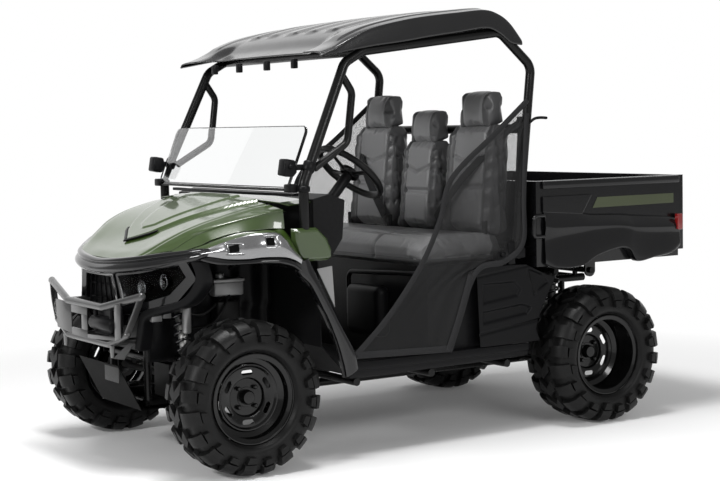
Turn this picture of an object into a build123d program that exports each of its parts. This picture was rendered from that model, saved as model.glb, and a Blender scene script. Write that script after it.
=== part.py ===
from build123d import *
import os
from math import cos, radians, sin

# Side-by-side utility vehicle, in millimetres.
# +X is the vehicle's left, -Y its front, +Z up. The origin is on the ground, midway along and across.
os.makedirs("parts", exist_ok=True)

# ---------------------------------------------------------------- driving dimensions
LENGTH = 2834.0
WHEELBASE = 1875.0
FRONT_OVERHANG = 427.0
FRONT_END_Y = -LENGTH / 2
REAR_END_Y = LENGTH / 2
FRONT_AXLE_Y = FRONT_END_Y + FRONT_OVERHANG
REAR_AXLE_Y = FRONT_AXLE_Y + WHEELBASE

GAP = 0.3                 # between pieces that are fitted against each other
RUNNING = 0.08            # radial clearance of a pin that turns in its eye
SHEET = 4.0               # moulded and pressed panels

# wheels
TYRE_RADIUS = 316.0
AXLE_Z = TYRE_RADIUS
FRONT_TYRE_WIDTH = 217.0
REAR_TYRE_WIDTH = 250.0
WHEEL_OUTER_X = 730.0     # outer face of all four tyres
RIM_RADIUS = 184.0        # over the flanges
RIM_FLANGE = 16.0         # height of a flange over the barrel
RIM_WALL = 4.0
BEAD_INSET = 24.0         # from the widest part of the tyre to its bead
TYRE_WALL = 14.0
CAVITY_SIDES = 10
LUG_COUNT = 20            # tread blocks in each of a tyre's two rings
LUG_DEPTH = 15.0
LUG_TIP = 0.21            # half length of a block's top, as a share of the pitch
LUG_ROOT = 0.25
LUG_STAND = 4.0           # of the blocks over the side wall
LUG_WRAP = 34.0           # of the blocks' band down the side wall
SHOULDER_WIDTH = 20.0
SHOULDER_DROP = 28.0
FRONT_DISC_RECESS = 66.0
REAR_DISC_RECESS = 146.0
HUB_RADIUS = 45.0
CAP_RADIUS = 33.0
CAP_HEIGHT = 26.0
SLOT_COUNT = 6

# frame
FRAME_TUBE = 19.0         # radius of the rails
UPRIGHT_TUBE = 17.0
CROSS_TUBE = 15.0
STAY_TUBE = 14.0          # radius of the bumper's stays and lower bar
FRAME_HALF = 170.0        # from the middle to each side frame
LOWER_RAIL_Z = 250.0
FRONT_RAIL_Z = 440.0
REAR_RAIL_Z = 620.0
FRAME_FRONT_Y = FRONT_AXLE_Y - 210.0
FIREWALL_Y = -640.0
SEAT_BACK_FRAME_Y = 446.0
REAR_UPRIGHT_Y = REAR_AXLE_Y + 175.0
FRAME_REAR_Y = REAR_UPRIGHT_Y + 120.0

# front suspension and steering
KINGPIN_X = 560.0
ARM_TUBE = 12.0
ARM_BUSH = 17.0
ARM_SPREAD = 110.0        # half the distance between an arm's two bushes
BALL_OFFSET = 100.0       # ball joints above and below the axle
BALL_BOSS = 20.0
BALL_HEIGHT = 32.0
STUD = 7.0
CARRIER_RADIUS = 60.0
CARRIER_BORE = 40.0
CARRIER_HALF = 30.0
STEER_ARM = 95.0
STEER_ARM_HALF = 7.0
TIE_ROD = 8.0
TIE_ROD_EYE = 16.0
TIE_EYE_HALF = 9.5         # half height of the eye at each end of the tie rod
RACK_BAR = 12.0
RACK_HOUSING = 24.0
RACK_HALF = 150.0
HALF_SHAFT = 14.0
CV_BALL = 28.0

# body
CAB_HALF = 640.0          # outside of the sills and side panels
FLOOR_Z = 352.0
SILL_WIDTH = 40.0
SEAT_FRONT_Y = -50.0
SEAT_BASE_REAR_Y = 420.0
SEAT_BASE_TOP_Z = 782.0
CUSHION_TOP_Z = 905.0
SEAT_HALF = 596.0
BACK_TOP_Z = 1400.0
DASH_REAR_Y = -485.0
DASH_LOW_Z = 850.0
COWL_REAR_Y = -640.0
HOOD_HINGE_Y = -775.0
HOOD_HALF = 600.0

# cage
CAGE_TUBE = 21.0
CAGE_X = 613.0
CAGE_FOOT_X = 646.0
PILLAR_FOOT_Z = 862.0
ROOF_FRONT_Y = -582.0
ROOF_REAR_Y = 472.0

# bed
BED_FRONT_Y = 508.0
BED_HALF = 660.0
BED_FLOOR_Z = 745.0
BED_RIM_Z = 1132.0
BED_WALL = 26.0
BED_FLARE = 40.0
BED_HINGE_Y = 1150.0
BED_HINGE_Z = 664.0
HINGE_TUBE = 15.0
GATE_THICK = 34.0
GATE_HINGE = 8.0

# steering wheel
WHEEL_X = 350.0
WHEEL_Y = -284.0
WHEEL_Z = 1196.0
WHEEL_RADIUS = 172.0
WHEEL_TILT = 48.0         # of the column above the horizontal


# ---------------------------------------------------------------- shared ways of making shapes
def save(builder, name):
    """Label a finished piece and write it to its own STEP file."""
    builder.part.label = name
    export_step(builder.part, f"parts/{name}.step")


def tube(points, radius, bend=60.0, mode=Mode.ADD):
    """Add a round bar along the points, its corners bent to a radius."""
    with BuildLine(mode=Mode.PRIVATE) as route:
        if len(points) > 2:
            FilletPolyline(*points, radius=bend)
        else:
            Line(*points)
    with BuildSketch(Plane(route.line @ 0, z_dir=route.line % 0)) as section:
        Circle(radius)
    sweep(section.sketch, path=route.line, mode=mode)


def block(low, high, mode=Mode.ADD):
    """Add or cut the block between two opposite corners."""
    size = [abs(b - a) for a, b in zip(low, high)]
    centre = tuple((a + b) / 2 for a, b in zip(low, high))
    with Locations(centre):
        Box(*size, mode=mode)


def plate(outline, plane, thickness, mode=Mode.ADD):
    """Extrude a closed outline drawn on a plane."""
    with BuildSketch(plane) as section:
        with BuildLine():
            Polyline(*outline, close=True)
        make_face()
    extrude(section.sketch, amount=thickness, mode=mode)


def ruled(sections, mode=Mode.ADD):
    """Join closed outlines, each on its own plane, by straight walls."""
    faces = []
    for plane, outline in sections:
        with BuildSketch(plane) as section:
            with BuildLine():
                Polyline(*outline, close=True)
            make_face()
        faces.append(section.sketch)
    loft(faces, ruled=True, mode=mode)


def station_y(y):
    """Plane across the vehicle at y: its axes are X and Z."""
    return Plane.XZ.offset(-y)


def station_x(x):
    """Plane along the vehicle at x: its axes are Y and Z."""
    return Plane.YZ.offset(x)


def skin_over(stations, wall=SHEET):
    """Thin panel under the lines of (x, z) points, one line at each y."""
    ruled([(station_y(y), line + [(x, z - wall) for x, z in reversed(line)])
           for y, line in stations])


def skin_front(stations, wall=SHEET):
    """Thin panel behind the lines of (y, z) points, one line at each x."""
    ruled([(station_x(x), line + [(y + wall, z) for y, z in reversed(line)])
           for x, line in stations])


def height_at(line, x):
    """Height of a line of (x, z) points at x."""
    for (x0, z0), (x1, z1) in zip(line, line[1:]):
        if x <= x1:
            break
    return z0 + (x - x0) / (x1 - x0) * (z1 - z0)


def across(half):
    """Whole line of (x, z) points from its right half to its left one."""
    return [(-x, z) for x, z in reversed(half) if x > 0] + half


def axle_plane(side, axle_y):
    """Plane through an axle, its first axis outwards and its second axis up."""
    return Plane(origin=(0, axle_y, AXLE_Z), x_dir=(side, 0, 0), z_dir=(0, -side, 0))


def lathe(side, axle_y, outline, mode=Mode.ADD):
    """Turn an outline of (distance from the middle, radius) points about an axle."""
    with BuildSketch(axle_plane(side, axle_y)) as section:
        with BuildLine():
            Polyline(*outline, close=True)
        make_face()
    revolve(section.sketch, axis=Axis((0, axle_y, AXLE_Z), (1, 0, 0)), mode=mode)


# ---------------------------------------------------------------- wheels
def wheel_sizes(width, recess):
    """Middle of the tyre, the two ends of the rim and the place of its disc."""
    middle = WHEEL_OUTER_X - width / 2
    reach = width / 2 - BEAD_INSET + GAP + RIM_WALL
    return middle, middle - reach, middle + reach, middle + reach - recess


def make_rim(name, side, axle_y, width, recess, hub_x):
    middle, inner, outer, disc = wheel_sizes(width, recess)
    barrel = RIM_RADIUS - RIM_FLANGE
    well = barrel - RIM_WALL
    ring = 0.62 * RIM_RADIUS
    with BuildPart() as rim:
        lathe(side, axle_y, [(inner, RIM_RADIUS), (inner + RIM_WALL, RIM_RADIUS), (inner + RIM_WALL, barrel),
                             (outer - RIM_WALL, barrel), (outer - RIM_WALL, RIM_RADIUS), (outer, RIM_RADIUS),
                             (outer, well), (inner, well)])
        lathe(side, axle_y, [(disc, 0), (disc, ring - 14), (disc + 14, ring), (disc + 2, well + 1),
                             (disc - 4, well + 1), (disc + 7, ring), (disc - 6, ring - 14), (disc - 6, 0)])
        face = Plane(origin=(side * (disc - 30), axle_y, AXLE_Z), x_dir=(0, 1, 0), z_dir=(side, 0, 0))
        with BuildSketch(face):
            with PolarLocations((ring + well) / 2, SLOT_COUNT):
                SlotOverall(58, 20, rotation=90)
        extrude(amount=60, mode=Mode.SUBTRACT)
        lathe(side, axle_y, [(hub_x, 0), (hub_x, HUB_RADIUS), (disc - 5, HUB_RADIUS), (disc - 5, 0)])
        lathe(side, axle_y, [(disc - 1, 0), (disc - 1, CAP_RADIUS), (disc + CAP_HEIGHT, CAP_RADIUS - 5),
                             (disc + CAP_HEIGHT, 0)])
    save(rim, name)


def ring(x, axle_y, corners, count, turn=0.0):
    """Plane at x with an outline about the axle: the corners, as (share of a pitch, radius), count times."""
    spots = [(radians(360 * (step + turn + share) / count), r) for step in range(count) for share, r in corners]
    return station_x(x), [(axle_y + r * sin(t), AXLE_Z + r * cos(t)) for t, r in spots]


def make_tyre(name, side, axle_y, width):
    """Faceted carcass with a ring of tread blocks on each half, the two rings half a pitch apart."""
    middle = wheel_sizes(width, 0)[0]
    half = width / 2
    seat = half - BEAD_INSET
    floor = TYRE_RADIUS - LUG_DEPTH
    shoulder = TYRE_RADIUS - SHOULDER_DROP
    belt = shoulder - LUG_WRAP
    bead = (RIM_RADIUS - RIM_FLANGE + GAP) / cos(radians(180 / LUG_COUNT))
    # (distance from the middle plane, tip radius, root radius) of the tread blocks
    blocks = [(0, TYRE_RADIUS, floor), (half - SHOULDER_WIDTH, TYRE_RADIUS, floor), (half, shoulder, shoulder - LUG_DEPTH)]
    # (distance from the middle plane, radius) of the side wall and of the hollow
    wall = [(seat, RIM_RADIUS + 4), (half - LUG_STAND, RIM_RADIUS + 50), (half - LUG_STAND, belt + 6)]
    hollow = [(seat - TYRE_WALL, RIM_RADIUS), (half - 2 * TYRE_WALL, belt)]
    with BuildPart() as tyre:
        for way in (1, -1):
            ruled([ring(side * (middle + way * u), axle_y,
                        [(-LUG_ROOT, root), (-LUG_TIP, tip), (LUG_TIP, tip), (LUG_ROOT, root)], LUG_COUNT, way / 4)
                   for u, tip, root in blocks])
        ruled([ring(side * (middle + u), axle_y, [(0, belt)], LUG_COUNT) for u in (-half - 1, half + 1)],
              mode=Mode.SUBTRACT)
        whole = [(-u, r) for u, r in wall] + wall[::-1]
        ruled([ring(side * (middle + u), axle_y, [(0, r)], LUG_COUNT) for u, r in whole])
        whole = [(-u, r) for u, r in hollow] + hollow[::-1]
        ruled([ring(side * (middle + u), axle_y, [(0, r)], CAVITY_SIDES) for u, r in whole], mode=Mode.SUBTRACT)
        ruled([ring(side * (middle + u), axle_y, [(0, bead)], LUG_COUNT) for u in (-half, half)], mode=Mode.SUBTRACT)
    save(tyre, name)


REAR_CARRIER_X = 492.0
# name, side, axle, tyre width, recess of the disc, inner end of the hub
WHEELS = [
    ("front_left", 1, FRONT_AXLE_Y, FRONT_TYRE_WIDTH, FRONT_DISC_RECESS, KINGPIN_X + CARRIER_HALF + GAP),
    ("front_right", -1, FRONT_AXLE_Y, FRONT_TYRE_WIDTH, FRONT_DISC_RECESS, KINGPIN_X + CARRIER_HALF + GAP),
    ("rear_left", 1, REAR_AXLE_Y, REAR_TYRE_WIDTH, REAR_DISC_RECESS, REAR_CARRIER_X + CARRIER_HALF + GAP),
    ("rear_right", -1, REAR_AXLE_Y, REAR_TYRE_WIDTH, REAR_DISC_RECESS, REAR_CARRIER_X + CARRIER_HALF + GAP),
]
for place, side, axle_y, width, recess, hub_x in WHEELS:
    make_rim(f"rim_{place}", side, axle_y, width, recess, hub_x)
    make_tyre(f"tyre_{place}", side, axle_y, width)


# ---------------------------------------------------------------- steering knuckles and tie rods
for place, side in (("left", 1), ("right", -1)):
    with BuildPart() as knuckle:
        near, far = KINGPIN_X - CARRIER_HALF, KINGPIN_X + CARRIER_HALF
        lathe(side, FRONT_AXLE_Y, [(near, 0), (near, CARRIER_RADIUS), (far, CARRIER_RADIUS), (far, 0)])
        post = BALL_OFFSET - BALL_HEIGHT / 2 - GAP
        with Locations((side * KINGPIN_X, FRONT_AXLE_Y, AXLE_Z)):
            Cylinder(BALL_BOSS - 2, 2 * post)
            Cylinder(STUD, 2 * (BALL_OFFSET + BALL_HEIGHT / 2))
        block((side * KINGPIN_X - 14, FRONT_AXLE_Y + CARRIER_BORE, AXLE_Z - STEER_ARM_HALF),
              (side * KINGPIN_X + 14, FRONT_AXLE_Y + STEER_ARM, AXLE_Z + STEER_ARM_HALF))
        with Locations((side * KINGPIN_X, FRONT_AXLE_Y + STEER_ARM, AXLE_Z)):
            Cylinder(TIE_ROD_EYE, 2 * STEER_ARM_HALF)
        lathe(side, FRONT_AXLE_Y, [(near - 1, 0), (near - 1, CARRIER_BORE), (far + 1, CARRIER_BORE),
                                   (far + 1, 0)], mode=Mode.SUBTRACT)
    save(knuckle, f"knuckle_{place}")

RACK_Y = FRONT_AXLE_Y + STEER_ARM
RACK_Z = AXLE_Z - STEER_ARM_HALF - GAP - TIE_EYE_HALF
with BuildPart() as tie_rods:
    tube([(-KINGPIN_X, RACK_Y, RACK_Z), (KINGPIN_X, RACK_Y, RACK_Z)], TIE_ROD)
    tube([(-RACK_HALF - 80, RACK_Y, RACK_Z), (RACK_HALF + 80, RACK_Y, RACK_Z)], RACK_BAR)
    with Locations((KINGPIN_X, RACK_Y, RACK_Z), (-KINGPIN_X, RACK_Y, RACK_Z)):
        Cylinder(TIE_ROD_EYE, 2 * TIE_EYE_HALF)
save(tie_rods, "tie_rods")


# ---------------------------------------------------------------- frame
FRONT_SHOCK_Y = FRONT_AXLE_Y - 115
FRONT_SHOCK_TOP_Z = 718.0
REAR_SHOCK_Y = REAR_AXLE_Y - 76
REAR_SHOCK_TOP_Z = 690.0
PILLAR_FOOT_Y = FIREWALL_Y - 60
REAR_FOOT_Y = SEAT_BACK_FRAME_Y - 16
REAR_FOOT_Z = 806.0
OUTRIGGER_Z = FLOOR_Z - 40
sill_inner = CAB_HALF - SILL_WIDTH - GAP
# y, low z, high z of the uprights of one side frame
UPRIGHTS = [(FRAME_FRONT_Y, LOWER_RAIL_Z, 760.0), (FIREWALL_Y, LOWER_RAIL_Z, 790.0),
            (SEAT_BACK_FRAME_Y, LOWER_RAIL_Z, REAR_RAIL_Z), (REAR_UPRIGHT_Y, LOWER_RAIL_Z, REAR_RAIL_Z)]
# start y, end y, height of its rails
RAILS = [(FRAME_FRONT_Y - 22, REAR_UPRIGHT_Y + 22, LOWER_RAIL_Z), (FRAME_FRONT_Y, FIREWALL_Y, FRONT_RAIL_Z),
         (SEAT_BACK_FRAME_Y - 22, FRAME_REAR_Y + 20, REAR_RAIL_Z)]
# y, z of the bars between the two side frames
CROSSBARS = [(FRAME_FRONT_Y, LOWER_RAIL_Z), (FRAME_FRONT_Y, FRONT_RAIL_Z), (FRAME_FRONT_Y, 740.0),
             (FIREWALL_Y, LOWER_RAIL_Z), (SEAT_BACK_FRAME_Y, LOWER_RAIL_Z), (SEAT_BACK_FRAME_Y, REAR_RAIL_Z),
             (REAR_UPRIGHT_Y, LOWER_RAIL_Z), (FRAME_REAR_Y, REAR_RAIL_Z), (RACK_Y, LOWER_RAIL_Z)]
# half length, y, z, radius of the bars that reach out past the side frames, and the z their posts start from
OUTREACH = [
    (sill_inner, -430.0, OUTRIGGER_Z, UPRIGHT_TUBE, LOWER_RAIL_Z),
    (sill_inner, -40.0, OUTRIGGER_Z, UPRIGHT_TUBE, LOWER_RAIL_Z),
    (sill_inner, 380.0, OUTRIGGER_Z, UPRIGHT_TUBE, LOWER_RAIL_Z),
    (CAB_HALF - GAP, PILLAR_FOOT_Y, PILLAR_FOOT_Z - CAGE_TUBE - 9, FRAME_TUBE, FRONT_RAIL_Z),
    (CAGE_X + CAGE_TUBE, REAR_FOOT_Y, REAR_FOOT_Z, FRAME_TUBE, REAR_RAIL_Z),
    (300.0, FRONT_SHOCK_Y, FRONT_SHOCK_TOP_Z, FRAME_TUBE, FRONT_RAIL_Z),
    (436.0, REAR_SHOCK_Y, REAR_SHOCK_TOP_Z, CROSS_TUBE, REAR_RAIL_Z),
    (300.0, BED_HINGE_Y, BED_HINGE_Z, HINGE_TUBE, REAR_RAIL_Z),
]
with BuildPart() as frame:
    for x in (FRAME_HALF, -FRAME_HALF):
        for start, end, z in RAILS:
            tube([(x, start, z), (x, end, z)], FRAME_TUBE)
        for y, low, high in UPRIGHTS:
            tube([(x, y, low), (x, y, high)], UPRIGHT_TUBE)
        for _, y, z, radius, low in OUTREACH:
            block((x - 10, y - 8, low), (x + 10, y + 8, z))
    for y, z in CROSSBARS:
        tube([(-FRAME_HALF, y, z), (FRAME_HALF, y, z)], CROSS_TUBE)
    for half, y, z, radius, _ in OUTREACH:
        tube([(-half, y, z), (half, y, z)], radius)
save(frame, "frame")


# ---------------------------------------------------------------- front suspension and driveline
ARM_LOW_Z = LOWER_RAIL_Z + 12
ARM_HIGH_Z = FRONT_RAIL_Z
bush_x = FRAME_HALF + FRAME_TUBE + GAP + ARM_BUSH


def add_arm(ball_x, axle_y, inner_z, outer_z):
    """One A-arm of the left side: two legs, their bushes and the eye of the ball joint."""
    for way in (1, -1):
        y = axle_y + way * ARM_SPREAD
        tube([(bush_x, y, inner_z), (ball_x, axle_y, outer_z)], ARM_TUBE)
        tube([(bush_x, y - 22, inner_z), (bush_x, y + 22, inner_z)], ARM_BUSH)
    with Locations((ball_x, axle_y, outer_z)):
        Cylinder(BALL_BOSS, BALL_HEIGHT)


SHOCK_FOOT = (400.0, 262.0)
with BuildPart() as front_arms:
    for outer_z, inner_z in ((AXLE_Z - BALL_OFFSET, ARM_LOW_Z), (AXLE_Z + BALL_OFFSET, ARM_HIGH_Z)):
        add_arm(KINGPIN_X, FRONT_AXLE_Y, inner_z, outer_z)
    # pad on the lower arm's front leg that carries the shock absorber
    block((SHOCK_FOOT[0] - 24, FRONT_SHOCK_Y - 18, SHOCK_FOOT[1] - 36),
          (SHOCK_FOOT[0] + 24, FRONT_AXLE_Y - 36, SHOCK_FOOT[1] - 24))
    for z in (AXLE_Z - BALL_OFFSET, AXLE_Z + BALL_OFFSET):
        with Locations((KINGPIN_X, FRONT_AXLE_Y, z)):
            Cylinder(STUD + RUNNING, 2 * BALL_HEIGHT, mode=Mode.SUBTRACT)
    mirror(about=Plane.YZ)
save(front_arms, "front_arms")


def add_shock(foot, head, body, coil, turns):
    """Damper between two points with a coil spring about its upper two thirds."""
    run = Vector(*head) - Vector(*foot)
    tube([foot, head], body)
    for turn in range(turns):
        at = Vector(*foot) + run * (0.34 + 0.58 * turn / (turns - 1))
        with Locations(Plane(at, z_dir=run)):
            Cylinder(coil, 11)


SHOCK_BODY = 20.0
SHOCK_COIL = 34.0
with BuildPart() as front_shocks:
    foot = (SHOCK_FOOT[0], FRONT_SHOCK_Y, SHOCK_FOOT[1])
    head = (SHOCK_FOOT[0] - 128, FRONT_SHOCK_Y, FRONT_SHOCK_TOP_Z - FRAME_TUBE - GAP)
    add_shock(foot, head, SHOCK_BODY, SHOCK_COIL, 8)
    block((foot[0] - 20, foot[1] - 16, SHOCK_FOOT[1] - 24 + GAP), (foot[0] + 20, foot[1] + 16, foot[2]))
    block((head[0] - 40, head[1] - 40, head[2]), (head[0] + 40, head[1] + 40, head[2] + 40), mode=Mode.SUBTRACT)
    mirror(about=Plane.YZ)
save(front_shocks, "front_shocks")

with BuildPart() as front_drive:
    block((-75, FRONT_AXLE_Y - 65, LOWER_RAIL_Z - 10), (75, FRONT_AXLE_Y + 62, AXLE_Z + 70))
    tube([(-KINGPIN_X, FRONT_AXLE_Y, AXLE_Z), (KINGPIN_X, FRONT_AXLE_Y, AXLE_Z)], HALF_SHAFT)
    for x in (KINGPIN_X, -KINGPIN_X):
        with Locations((x, FRONT_AXLE_Y, AXLE_Z)):
            Sphere(CV_BALL)
    for x in (FRAME_HALF - FRAME_TUBE - GAP, -FRAME_HALF + FRAME_TUBE + GAP):
        block((min(x, 0), FRONT_AXLE_Y - 30, LOWER_RAIL_Z - 8), (max(x, 0), FRONT_AXLE_Y + 30, LOWER_RAIL_Z + 8))
save(front_drive, "front_drive")


# ---------------------------------------------------------------- rear suspension and driveline
with BuildPart() as rear_arms:
    ball_x = REAR_CARRIER_X - CARRIER_HALF - BALL_BOSS - 8
    for outer_z, inner_z in ((AXLE_Z - BALL_OFFSET, ARM_LOW_Z), (AXLE_Z + BALL_OFFSET, AXLE_Z + BALL_OFFSET + 50)):
        add_arm(ball_x, REAR_AXLE_Y, inner_z, outer_z)
    # pads that carry the shock absorbers
    block((ball_x - 60, REAR_SHOCK_Y - 22, AXLE_Z - 114), (ball_x - 8, REAR_AXLE_Y - 6, AXLE_Z - 100))
    mirror(about=Plane.YZ)
save(rear_arms, "rear_arms")

with BuildPart() as rear_carriers:
    near, far = REAR_CARRIER_X - CARRIER_HALF, REAR_CARRIER_X + CARRIER_HALF
    lathe(1, REAR_AXLE_Y, [(near, 0), (near, CARRIER_RADIUS), (far, CARRIER_RADIUS), (far, 0)])
    post = BALL_OFFSET - BALL_HEIGHT / 2 - GAP
    block((ball_x - 16, REAR_AXLE_Y - 16, AXLE_Z - post), (ball_x + 16, REAR_AXLE_Y + 16, AXLE_Z + post))
    block((ball_x - 16, REAR_AXLE_Y - 40, AXLE_Z - 40), (near + 1, REAR_AXLE_Y + 40, AXLE_Z + 40))
    lathe(1, REAR_AXLE_Y, [(ball_x - 40, 0), (ball_x - 40, HALF_SHAFT + GAP), (far + 1, HALF_SHAFT + GAP),
                           (far + 1, 0)], mode=Mode.SUBTRACT)
    mirror(about=Plane.YZ)
save(rear_carriers, "rear_carriers")

with BuildPart() as rear_drive:
    block((-110, REAR_AXLE_Y - 90, LOWER_RAIL_Z - 10), (110, REAR_AXLE_Y + 90, AXLE_Z + 80))
    tube([(-REAR_CARRIER_X, REAR_AXLE_Y, AXLE_Z), (REAR_CARRIER_X, REAR_AXLE_Y, AXLE_Z)], HALF_SHAFT)
    for x in (FRAME_HALF - FRAME_TUBE - GAP, -FRAME_HALF + FRAME_TUBE + GAP):
        block((min(x, 0), REAR_AXLE_Y - 30, LOWER_RAIL_Z - 8), (max(x, 0), REAR_AXLE_Y + 30, LOWER_RAIL_Z + 8))
save(rear_drive, "rear_drive")

with BuildPart() as rear_shocks:
    foot = (ball_x - 34, REAR_SHOCK_Y, AXLE_Z - 100 + GAP)
    head = (ball_x - 34, REAR_SHOCK_Y, REAR_SHOCK_TOP_Z - CROSS_TUBE - GAP)
    add_shock(foot, head, SHOCK_BODY, SHOCK_COIL, 8)
    mirror(about=Plane.YZ)
save(rear_shocks, "rear_shocks")

with BuildPart() as engine:
    block((-150, SEAT_BACK_FRAME_Y + UPRIGHT_TUBE + GAP, 330), (150, REAR_AXLE_Y - 130, REAR_RAIL_Z - 40))
    for x in (FRAME_HALF, -FRAME_HALF):
        block((x - 20, 560, LOWER_RAIL_Z + FRAME_TUBE + GAP), (x + 20, 620, 350))
save(engine, "engine")

with BuildPart() as muffler:
    y = REAR_UPRIGHT_Y + UPRIGHT_TUBE + GAP + 58
    tube([(-210, y, 470), (210, y, 470)], 58)
    tube([(150, y, 470), (150, y + 90, 470)], 18)
save(muffler, "muffler")

with BuildPart() as hitch:
    y = REAR_UPRIGHT_Y + CROSS_TUBE + GAP
    block((-32, y, 330), (32, y + 210, 394))
    block((-120, y, 300), (120, y + 8, 400))
    block((-25.5, y + 60, 336.5), (25.5, y + 230, 387.5), mode=Mode.SUBTRACT)
    with Locations(Plane(origin=(0, y + 165, 362), z_dir=(1, 0, 0))):
        Cylinder(8, 100, mode=Mode.SUBTRACT)
    block((-60, y, 236), (60, y + 8, 310))
save(hitch, "hitch_receiver")


# ---------------------------------------------------------------- front end
with BuildPart() as skid:
    plate([(FRAME_FRONT_Y - 145, 425), (FRAME_FRONT_Y - 45, LOWER_RAIL_Z - FRAME_TUBE - GAP),
           (FRONT_AXLE_Y + 160, LOWER_RAIL_Z - FRAME_TUBE - GAP),
           (FRONT_AXLE_Y + 160, LOWER_RAIL_Z - FRAME_TUBE - GAP - SHEET),
           (FRAME_FRONT_Y - 48, LOWER_RAIL_Z - FRAME_TUBE - GAP - SHEET), (FRAME_FRONT_Y - 150, 425)],
          station_x(-200), 400)
save(skid, "skid_plate")

BUMPER_TUBE = 16.0
bumper_y = FRONT_END_Y + BUMPER_TUBE
BUMPER_HIGH_Z = 674.0     # of the upper bar's middle
BUMPER_LOW_Z = 520.0      # of the lower bar's middle
with BuildPart() as bumper:
    horn = (478, bumper_y + 46, BUMPER_HIGH_Z + 64)
    corner = (371, bumper_y + 25, BUMPER_LOW_Z + 56)
    high = [(183, bumper_y, BUMPER_HIGH_Z), horn]
    low = [(215, bumper_y + 13, BUMPER_LOW_Z), corner]
    for (inner, outer), radius, bend in ((high, BUMPER_TUBE, 60), (low, STAY_TUBE, 50)):
        bars = [(-x, y, z) for x, y, z in (outer, inner)] + [inner, outer]
        tube(bars, radius, bend=bend)
    for side in (1, -1):
        x = side * FRAME_HALF
        tube([(side * horn[0], *horn[1:]), (side * corner[0], *corner[1:])], BUMPER_TUBE)
        for y, z in ((bumper_y + 13, BUMPER_LOW_Z), (bumper_y, BUMPER_HIGH_Z)):
            tube([(x, y, z), (x, FRAME_FRONT_Y - UPRIGHT_TUBE - GAP, z)], STAY_TUBE)
        tube([(x, bumper_y, BUMPER_HIGH_Z), (x, bumper_y + 13, BUMPER_LOW_Z)], ARM_TUBE)
save(bumper, "bumper")

with BuildPart() as radiator:
    edge = FRAME_HALF - UPRIGHT_TUBE - GAP
    block((-edge, FRAME_FRONT_Y - 24, 470), (edge, FRAME_FRONT_Y + 24, 716))
save(radiator, "radiator")

# lines of (x, z) across the hood and the panel behind it, at named places along the vehicle
HOOD_REAR_LINE = [(0, 1096), (300, 1092), (520, 1088), (HOOD_HALF, 1080)]
COWL_REAR_LINE = [(0, 1108), (300, 1106), (540, 1098), (HOOD_HALF, 1090)]
COWL_FRONT_Y = HOOD_HINGE_Y + 30
HOOD_PIN_Y = HOOD_HINGE_Y + 13
HOOD_PIN_Z = HOOD_REAR_LINE[0][1] - 20
HOOD_PIN = 5.0
HOOD_HINGES = (400.0, -400.0)
with BuildPart() as hood:
    skin_over([
        (HOOD_HINGE_Y, across(HOOD_REAR_LINE)),
        (-1000, across([(0, 1032), (300, 1038), (510, 1040), (590, 1018)])),
        (-1170, across([(0, 936), (260, 958), (470, 985), (545, 955)])),
        (-1300, across([(0, 868), (180, 876), (300, 880), (345, 872)])),
    ])
    for x in HOOD_HINGES:
        block((x - 14, HOOD_HINGE_Y - 24, HOOD_PIN_Z - 5), (x + 14, HOOD_PIN_Y, HOOD_PIN_Z + 5))
        block((x - 14, HOOD_HINGE_Y - 24, HOOD_PIN_Z - 5), (x + 14, HOOD_HINGE_Y - 14, HOOD_REAR_LINE[2][1] - 4))
        with Locations(Plane(origin=(x, HOOD_PIN_Y, HOOD_PIN_Z), z_dir=(1, 0, 0))):
            Cylinder(10, 28)
            Cylinder(HOOD_PIN + RUNNING, 30, mode=Mode.SUBTRACT)
save(hood, "hood")

with BuildPart() as hood_hinges:
    tray_z = HOOD_PIN_Z - 24
    block((-560, HOOD_HINGE_Y - 40, tray_z - SHEET), (560, COWL_FRONT_Y + 14, tray_z))
    for x in HOOD_HINGES:
        with Locations(Plane(origin=(x, HOOD_PIN_Y, HOOD_PIN_Z), z_dir=(1, 0, 0))):
            Cylinder(HOOD_PIN, 60)
        for end in (x - 30, x + 22):
            block((end, HOOD_PIN_Y - 9, tray_z), (end + 8, HOOD_PIN_Y + 9, HOOD_PIN_Z + 9))
        post_z = height_at(HOOD_REAR_LINE, abs(x) + 40) - SHEET - GAP
        block((x - 40, COWL_FRONT_Y + 2, tray_z), (x + 40, COWL_FRONT_Y + 14, post_z))
save(hood_hinges, "hood_hinges")

with BuildPart() as cowl:
    skin_over([(COWL_REAR_Y, across(COWL_REAR_LINE)), (COWL_FRONT_Y, across(HOOD_REAR_LINE))])
save(cowl, "cowl")

with BuildPart() as cowl_panels:
    plate([(-653, 1077), (-625, 1077), (-572, 1040), (-552, 852), (-640, 852), (-700, 900), (-700, 1000)],
          station_x(CAGE_FOOT_X + CAGE_TUBE + GAP), SHEET)
    mirror(about=Plane.YZ)
save(cowl_panels, "cowl_panels")

# x, y and z of the brow's front edge
BROW = [(0, -1356, 806), (300, -1320, 828), (560, -1190, 886)]


def brow_foot(x):
    """Point under the brow at x that the front panel rises to."""
    for (x0, y0, z0), (x1, y1, z1) in zip(BROW, BROW[1:]):
        if x <= x1:
            break
    part = (x - x0) / (x1 - x0)
    return (y0 + part * (y1 - y0) + 12, z0 + part * (z1 - z0) - 6 - GAP)


with BuildPart() as brow:
    for side in (1, -1):
        ruled([(station_x(side * x), [(y, z), (y + 50, z + 36), (y + 62, z + 30), (y + 12, z - 6)])
               for x, y, z in BROW])
save(brow, "brow")

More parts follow.
